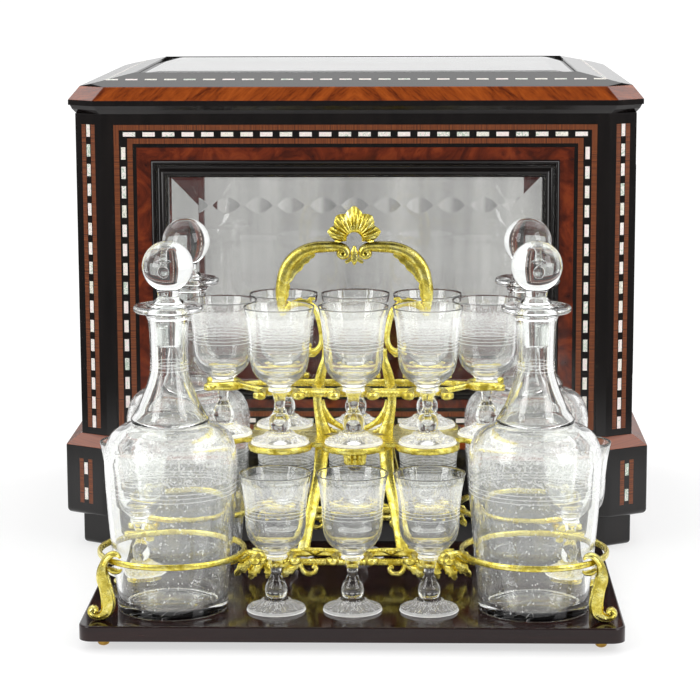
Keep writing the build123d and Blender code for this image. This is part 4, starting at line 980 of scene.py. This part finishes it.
for sx in (-1, 1):
    lyre.append(strap(f"post_{sx}", mirrored(POST_LINE, sx, 1), (0, 1, 0), 0.14, 3))
    lyre.append(strap(f"scroll_{sx}", mirrored(SCROLL_LINE, sx, 1), (0, 1, 0), 0.12, 3))
    lyre += leaves(f"lyre_leaf_{sx}", LYRE_LEAVES, sx, 1, (0, 1, 0), 3)
join("lyre_castings", lyre, "stand", "gilt_brass", "lyre_posts")

# Upper gallery: the same curling arms for the eight upper goblets, on two rails tied to the posts.
UPPER_LEVEL, UPPER_RAIL_DROP, UPPER_RAIL_Y, UPPER_BAND_Y = 120.6, 1.2, 17.2, 15.0
UPPER_TIE = [(21.6, y, UPPER_LEVEL, width, 3.0)
             for y, width in ((-16, 6.0), (-8, 4.4), (0, 8.4), (8, 4.4), (16, 6.0))]
UPPER_LINK = [(43.6, 16, UPPER_LEVEL, 5.0, 4.0), (54.0, 12.5, UPPER_LEVEL, 4.2, 3.8),
              (63.0, 6.0, UPPER_LEVEL + 0.6, 4.4, 3.8), (69.6, 0, UPPER_LEVEL + 1.0, 5.0, 4.0)]
upper = []
for row in (-1, 1):
    start, end = [(u * UPPER_PITCH, row * UPPER_RAIL_Y, UPPER_LEVEL - UPPER_RAIL_DROP) for u in (-1, 1)]
    upper.append(beaded_rail(f"upper_rail_{row}", start, end, 2.0, 4.2, 3.2))
    band = [(x, row * UPPER_BAND_Y, UPPER_LEVEL, 3.6, 3.6)
            for x in np.linspace(-UPPER_PITCH, UPPER_PITCH, 13)]
    upper.append(strap(f"upper_band_{row}", band, (0, 0, 1), 0.16, 3, 4, 16))
    for i in (-1, 0, 1):
        upper += collar_arms(f"upper_arm_{row}_{i}", i * UPPER_PITCH, row * UPPER_ROW, UPPER_LEVEL, (0, row))
for sx in (-1, 1):
    upper += collar_arms(f"upper_side_arm_{sx}", sx * UPPER_SIDE, 0, UPPER_LEVEL + 1.0, (sx, 0))
    upper.append(strap(f"upper_tie_{sx}", mirrored(UPPER_TIE, sx, 1), (0, 0, 1), 0.1, 3))
    for row in (-1, 1):
        upper.append(strap(f"upper_link_{sx}_{row}", mirrored(UPPER_LINK, sx, row), (0, 0, 1), 0.1, 3))
join("upper_gallery_castings", upper, "stand", "gilt_brass", "goblet_gallery")

# Handle: an arch of two round-backed straps whose ends roll up in volutes, with a chased leaf on the
# inner side of each haunch. Its faces that look up are painted darker, a painted shade on the arch's top.
ARCH_LINE = [(x, 0, z, width, thick) for x, z, width, thick in (
    (42.6, 163.4, 4.2, 4.4), (43.2, 169.0, 5.8, 5.6), (43.6, 176.0, 7.0, 6.2), (43.0, 183.0, 7.4, 6.4),
    (41.2, 190.4, 7.6, 6.6), (37.2, 197.0, 7.6, 6.6), (31.0, 201.8, 7.4, 6.6), (23.8, 204.4, 7.2, 6.6),
    (15.6, 205.0, 6.8, 6.4), (9.6, 204.9, 6.2, 6.4), (5.6, 203.6, 5.2, 6.4), (4.4, 201.0, 4.4, 6.4),
    (6.0, 199.2, 4.0, 6.4), (8.5, 200.0, 3.8, 6.4), (8.7, 202.0, 3.4, 6.2), (6.9, 202.3, 3.2, 6.0))]
ARCH_LEAVES = [((41.4, 0, 182.0), (23.0, 0, 200.2), (-1.2, 0, 4.4), 6.4),
               ((42.6, 0, 168.0), (39.2, 0, 188.0), (-0.4, 0, 0.4), 4.6)]
# The arch's gilt carries painted shade on its upward faces.
handle_gilt_painted_shade = gilt_finish("gilt_brass_with_painted_top_shade", 0.85)
arch = []
for sx in (-1, 1):
    arch.append(strap(f"arch_{sx}", mirrored(ARCH_LINE, sx, 1), (0, 1, 0), 0.03, 2, 8, 28, 1.0, handle_gilt_painted_shade))
    arch += leaves(f"arch_leaf_{sx}", ARCH_LEAVES, sx, 1, (0, 1, 0))
join("handle_castings", arch, "stand", "gilt_brass", "handle_arch")

# Shell: a five-lobed fluted fan over the volutes, with a beaded arc round its eye and a small
# three-leaved drop that the volutes clasp.
SHELL_LEVEL, SHELL_EYE, SHELL_LOBE, SHELL_FLUTE = 209.2, 4.6, 36.6, 12.2
SHELL_FIRST, SHELL_LAST = -8.0, 188.0
REACH_BY_TURN = ((0, 35, 73, 90, 98), (20.2, 17.8, 16.6, 14.0, 12.4))


def shell_front(turn, share):
    """Half the thickness of the fan at a direction in degrees and a share of the way out."""
    flute = abs(math.cos(math.pi * (turn - 90.0) / SHELL_FLUTE)) ** 0.8
    lobe = abs(math.cos(math.pi * (turn - 90.0) / SHELL_LOBE))
    return (1.2 + (1.3 * flute + 0.5 * lobe) * math.sin(math.pi * min(1.0, 0.15 + 0.8 * share))) * (
        1.0 - 0.5 * share ** 3)


def shell_reach(turn):
    """Five pointed tips along the fan's edge, the middle one furthest out."""
    off = abs(turn - 90.0)
    into = abs((off / SHELL_LOBE + 0.5) % 1.0 - 0.5) * 2
    return float(np.interp(off, *REACH_BY_TURN)) * (1.0 - 0.15 * into ** 1.3)


SHELL_STEPS, SHELL_ROWS = 132, 9
loops = []
for step in range(SHELL_STEPS + 1):
    turn = SHELL_FIRST + (SHELL_LAST - SHELL_FIRST) * step / SHELL_STEPS
    a = math.radians(turn)
    front = []
    for row in range(SHELL_ROWS):
        share = row / (SHELL_ROWS - 1)
        r = SHELL_EYE + (shell_reach(turn) - SHELL_EYE) * share
        front.append((r * math.cos(a), -shell_front(turn, share), SHELL_LEVEL + r * math.sin(a)))
    loops.append([stand_point(*p) for p in front] + [stand_point(x, -y, z) for x, y, z in reversed(front)])
count = len(loops[0])
faces = [(i * count + j, i * count + (j + 1) % count, (i + 1) * count + (j + 1) % count, (i + 1) * count + j)
         for i in range(SHELL_STEPS) for j in range(count)]
faces += [tuple(range(count)), tuple(range(SHELL_STEPS * count, (SHELL_STEPS + 1) * count))]
fan = [skin("shell_fan", [p for loop in loops for p in loop], faces, gilt, 50.0)]
EYE_RADIUS, EYE_BEADS = 5.5, 36
eye = []
for k in range(EYE_BEADS + 1):
    a = math.radians(SHELL_FIRST + (SHELL_LAST - SHELL_FIRST) * k / EYE_BEADS)
    swell = 1.0 if k % 2 else 0.72
    eye.append((EYE_RADIUS * math.cos(a), 0, SHELL_LEVEL + EYE_RADIUS * math.sin(a),
                2.2 * swell, 5.6 * swell))
fan.append(strap("eye_band", eye, (0, 1, 0), 0.0, 1, 3, 12))
DROP_LINE = [(0, 0, 205.4, 1.6, 2.6), (0, 0, 202.0, 4.4, 3.4), (0, 0, 198.8, 4.6, 3.6),
             (0, 0, 196.0, 3.4, 3.4), (0, 0, 194.0, 0.8, 1.6)]
DROP_LEAF = [(0, 0, 200.0), (5.6, 0, 196.2), (0.8, 0, -1.6)]
fan.append(strap("drop", DROP_LINE, (0, 1, 0), 0.1, 3))
for sx in (-1, 1):
    fan.append(leaf(f"drop_leaf_{sx}", *mirrored(DROP_LEAF, sx, 1), 3.4, (0, 1, 0), 2))
join("shell_castings", fan, "stand", "gilt_brass", "shell_finial")

# Glassware: thin blown lead glass, clear and a little seedy. Each goblet has a knopped stem, three
# cut rings round the bowl and a band of etched sprigs above them.
SEED_REACH, STEM_WIDTH, LEAF_REACH = 0.12, 0.024, 0.2


def blown_glass(name, bands, sprig_mm, seed_mm, seed_share):
    """Clear glass with (low, high, frosted share, change in the sprigs) bands of etching. The frost is white
    and glows faintly, a painted light.
    """
    made, tree, clear = glass(name, "#fdfefd", 1.5)
    out = next(n for n in tree.nodes if n.type == "OUTPUT_MATERIAL")
    uv = add(tree, "ShaderNodeUVMap", uv_map="turned")
    place = add(tree, "ShaderNodeSeparateXYZ", {0: uv.outputs[0]})
    marks = sprigs(tree, uv.outputs[0], sprig_mm)
    seeds = add(tree, "ShaderNodeTexVoronoi", {"Vector": uv.outputs[0], "Scale": 1 / seed_mm})
    seed = add(tree, "ShaderNodeMath", {0: seeds.outputs["Distance"], 1: SEED_REACH}, operation="LESS_THAN")
    mask = add(tree, "ShaderNodeMath", {0: seed.outputs[0], 1: seed_share}, operation="MULTIPLY")
    for low, high, share, change in bands:
        above = add(tree, "ShaderNodeMath", {0: place.outputs["Y"], 1: low}, operation="GREATER_THAN")
        below = add(tree, "ShaderNodeMath", {0: place.outputs["Y"], 1: high}, operation="LESS_THAN")
        within = add(tree, "ShaderNodeMath", {0: above.outputs[0], 1: below.outputs[0]}, operation="MULTIPLY")
        etched = add(tree, "ShaderNodeMath", {0: marks, 1: change, 2: share}, operation="MULTIPLY_ADD")
        part = add(tree, "ShaderNodeMath", {0: within.outputs[0], 1: etched.outputs[0]}, operation="MULTIPLY")
        mask = add(tree, "ShaderNodeMath", {0: mask.outputs[0], 1: part.outputs[0]}, operation="MAXIMUM")
    # The frost is white and glows a little: painted light that brightens the etched bands and the seeds.
    frost_with_painted_glow = add(tree, "ShaderNodeBsdfPrincipled", {"Base Color": srgb("#f6f6f4"), "Roughness": 0.6,
                                                   "Transmission Weight": 0.25, "Alpha": 0.85,
                                                   "Emission Color": (1, 1, 1, 1), "Emission Strength": 0.4})
    plain = out.inputs["Surface"].links[0].from_socket
    both = add(tree, "ShaderNodeMixShader", {0: mask.outputs[0], 1: plain, 2: frost_with_painted_glow.outputs[0]})
    tree.links.new(both.outputs[0], out.inputs["Surface"])
    ripple = add(tree, "ShaderNodeTexNoise", {"Vector": uv.outputs[0], "Scale": 1 / 12.0, "Detail": 1.0})
    tree.links.new(relief(tree, ripple.outputs[0], 0.15, 0.25), clear.inputs["Normal"])
    return made


def sprigs(tree, coords, size_mm):
    """Wandering stems and small leaves, one where the etching is and nought elsewhere."""
    noise = add(tree, "ShaderNodeTexNoise", {"Vector": coords, "Scale": 1 / size_mm, "Detail": 2.0,
                                             "Distortion": 1.5})
    off = add(tree, "ShaderNodeMath", {0: noise.outputs[0], 1: 0.5}, operation="SUBTRACT")
    near = add(tree, "ShaderNodeMath", {0: off.outputs[0]}, operation="ABSOLUTE")
    stem = add(tree, "ShaderNodeMath", {0: near.outputs[0], 1: STEM_WIDTH}, operation="LESS_THAN")
    cells = add(tree, "ShaderNodeTexVoronoi", {"Vector": coords, "Scale": 2.2 / size_mm, "Randomness": 1.0})
    petal = add(tree, "ShaderNodeMath", {0: cells.outputs["Distance"], 1: LEAF_REACH}, operation="LESS_THAN")
    both = add(tree, "ShaderNodeMath", {0: stem.outputs[0], 1: petal.outputs[0]}, operation="MAXIMUM")
    return both.outputs[0]


# The first two bands, over the foot and its edge, are a painted highlight: glowing frost that brightens the
# foot where light would catch it.
goblet_glass = blown_glass("etched_goblet_glass", [
    (0.2, 6.6, 0.24, 0.3), (0.2, 2.0, 0.5, 0), (30.5, 34.5, 0.2, 0), (34.5, 77.0, 0.05, 0),
    (56.6, 57.0, 0.45, 0), (58.6, 59.0, 0.45, 0), (60.6, 61.0, 0.45, 0), (62.0, 76.0, 0.2, 0.2),
    (76.2, 76.5, 0.3, 0)], 3.8, 6.0, 0.25)
GOBLET = [
    [(0, 0), (16.0, 0), (16.6, 0.5)],
    [(16.6, 0.5), (16.9, 1.3), (16.3, 2.3), (13.4, 3.3), (10.6, 4.5), (9.0, 5.5)],
    [(9.0, 5.5), (8.7, 6.2), (7.2, 6.6)],
    [(7.2, 6.6), (6.7, 7.4), (5.4, 7.9)],
    [(5.4, 7.9), (6.2, 9.6), (6.5, 12.2), (6.1, 14.8), (4.8, 17.4), (3.5, 19.8), (3.0, 21.8), (3.1, 24.0),
     (3.6, 26.6), (4.4, 29.0), (4.8, 30.6)],
    [(4.8, 30.6), (6.8, 31.4), (6.5, 32.6), (6.4, 34.0)],
    [(6.4, 34.0), (9.0, 36.4), (12.4, 38.9), (15.6, 43.0), (17.1, 48.0), (17.7, 53.8), (17.8, 60.0),
     (18.3, 66.0), (19.2, 73.0), (20.3, 78.5), (20.9, 81.4), (20.6, 81.6), (20.2, 81.4)],
    [(20.2, 81.4), (19.4, 78.0), (18.2, 73.0), (17.2, 66.0), (16.6, 60.0), (16.4, 53.8), (15.6, 48.4),
     (13.6, 44.0), (10.0, 41.0), (5.0, 39.6), (0, 39.2)]]
lower_places = [(i * LOWER_PITCH, s * LOWER_ROW, 0) for s in (-1, 1) for i in (-1, 0, 1)]
lower_places += [(-SIDE_X, 0, SEAT_TOP), (SIDE_X, 0, SEAT_TOP)]
upper_places = [(i * UPPER_PITCH, s * UPPER_ROW, SHELF_TOP) for s in (-1, 1) for i in (-1, 0, 1)]
upper_places += [(-UPPER_SIDE, 0, SHELF_TOP), (UPPER_SIDE, 0, SHELF_TOP)]
for level_name, places in (("lower", lower_places), ("upper", upper_places)):
    for number, place in enumerate(places, 1):
        body = f"goblet_{level_name}_{number}"
        goblet = lathe(f"blown_{body}", GOBLET, place, goblet_glass, 64, 5)
        set_down(goblet, body, "engraved_crystal", body)

# Decanters: blown with a thick base, cut rings round the widest part and the neck, and etched
# scrolls over the shoulder. The stoppers are solid balls with ground plugs.
decanter_glass = blown_glass("etched_decanter_glass", [
    (5.0, 110.0, 0.05, 0), (70.0, 70.45, 0.38, 0), (72.4, 72.85, 0.38, 0), (74.8, 75.25, 0.38, 0),
    (78.0, 104.0, 0.1, 0.26), (141.0, 141.5, 0.38, 0), (143.0, 143.5, 0.38, 0), (145.0, 145.5, 0.38, 0)],
    5.5, 5.0, 0.45)
DECANTER = [
    [(0, 3.0), (12.0, 2.6), (24.0, 1.2), (28.5, 0)],
    [(28.5, 0), (31.0, 0)],
    [(31.0, 0), (32.2, 1.2), (32.4, 9.3), (33.4, 20.0), (34.8, 32.2), (36.6, 52.0), (38.0, 72.3),
     (38.5, 87.2), (38.2, 93.0), (36.6, 99.2), (33.6, 104.0), (28.6, 107.6), (24.0, 109.4), (22.4, 110.8)],
    [(22.4, 110.8), (22.6, 112.4), (21.6, 114.0)],
    [(21.6, 114.0), (19.4, 117.6), (17.4, 121.4), (14.0, 130.0), (11.8, 137.0), (11.0, 143.0), (11.0, 157.0),
     (11.6, 168.0), (13.2, 172.6), (16.4, 174.4)],
    [(16.4, 174.4), (19.0, 174.8), (20.1, 176.0), (20.0, 177.6), (18.8, 178.6), (16.0, 178.5)],
    [(16.0, 178.5), (10.4, 177.8), (8.6, 175.0), (8.3, 168.0), (8.2, 150.0), (8.3, 142.0), (9.4, 136.0),
     (12.0, 128.0), (15.4, 120.0), (18.6, 113.4), (22.0, 109.4), (27.0, 105.2), (31.6, 101.0), (34.6, 96.6),
     (36.2, 88.0), (35.8, 72.0), (34.4, 52.0), (32.4, 32.0), (30.8, 18.0), (29.8, 9.0), (28.4, 5.0)],
    [(28.4, 5.0), (24.0, 4.4), (12.0, 5.4), (0, 6.0)]]
stopper_glass, tree, surface = glass("solid_stopper_glass", "#fbfdfc")
pool = grain(tree, 20.0, (1, 1, 1), 1.0)
tree.links.new(relief(tree, pool.outputs[0], 0.1, 0.3), surface.inputs["Normal"])
BALL_LEVEL, BALL = 201.0, 14.75
STOPPER = [[(0, 154.8), (6.4, 154.8), (6.9, 155.4)], [(6.9, 155.4), (7.9, 178.6)],
           [(7.9, 178.6), (8.9, 179.4), (8.6, 181.0), (6.2, 183.0), (6.4, 186.0), (7.0, 188.0)],
           [(BALL * math.cos(math.radians(a)), BALL_LEVEL + BALL * math.sin(math.radians(a)))
            for a in (-61.66, -50, -35, -20, 0, 20, 40, 60, 75, 90)]]
STOPPER[2][-1] = STOPPER[3][0]
STOPPER[3][-1] = (0, BALL_LEVEL + BALL)
for c, (sx, sy) in corners.items():
    at = (sx * DECANTER_X, sy * DECANTER_Y, 0)
    set_down(lathe(f"blown_decanter_{c}", DECANTER, at, decanter_glass, 96, 6), f"decanter_{c}",
             "engraved_crystal", f"decanter_{c}")
    set_down(lathe(f"ball_stopper_{c}", STOPPER, at, stopper_glass, 64, 6), f"stopper_{c}",
             "engraved_crystal", f"stopper_{c}")
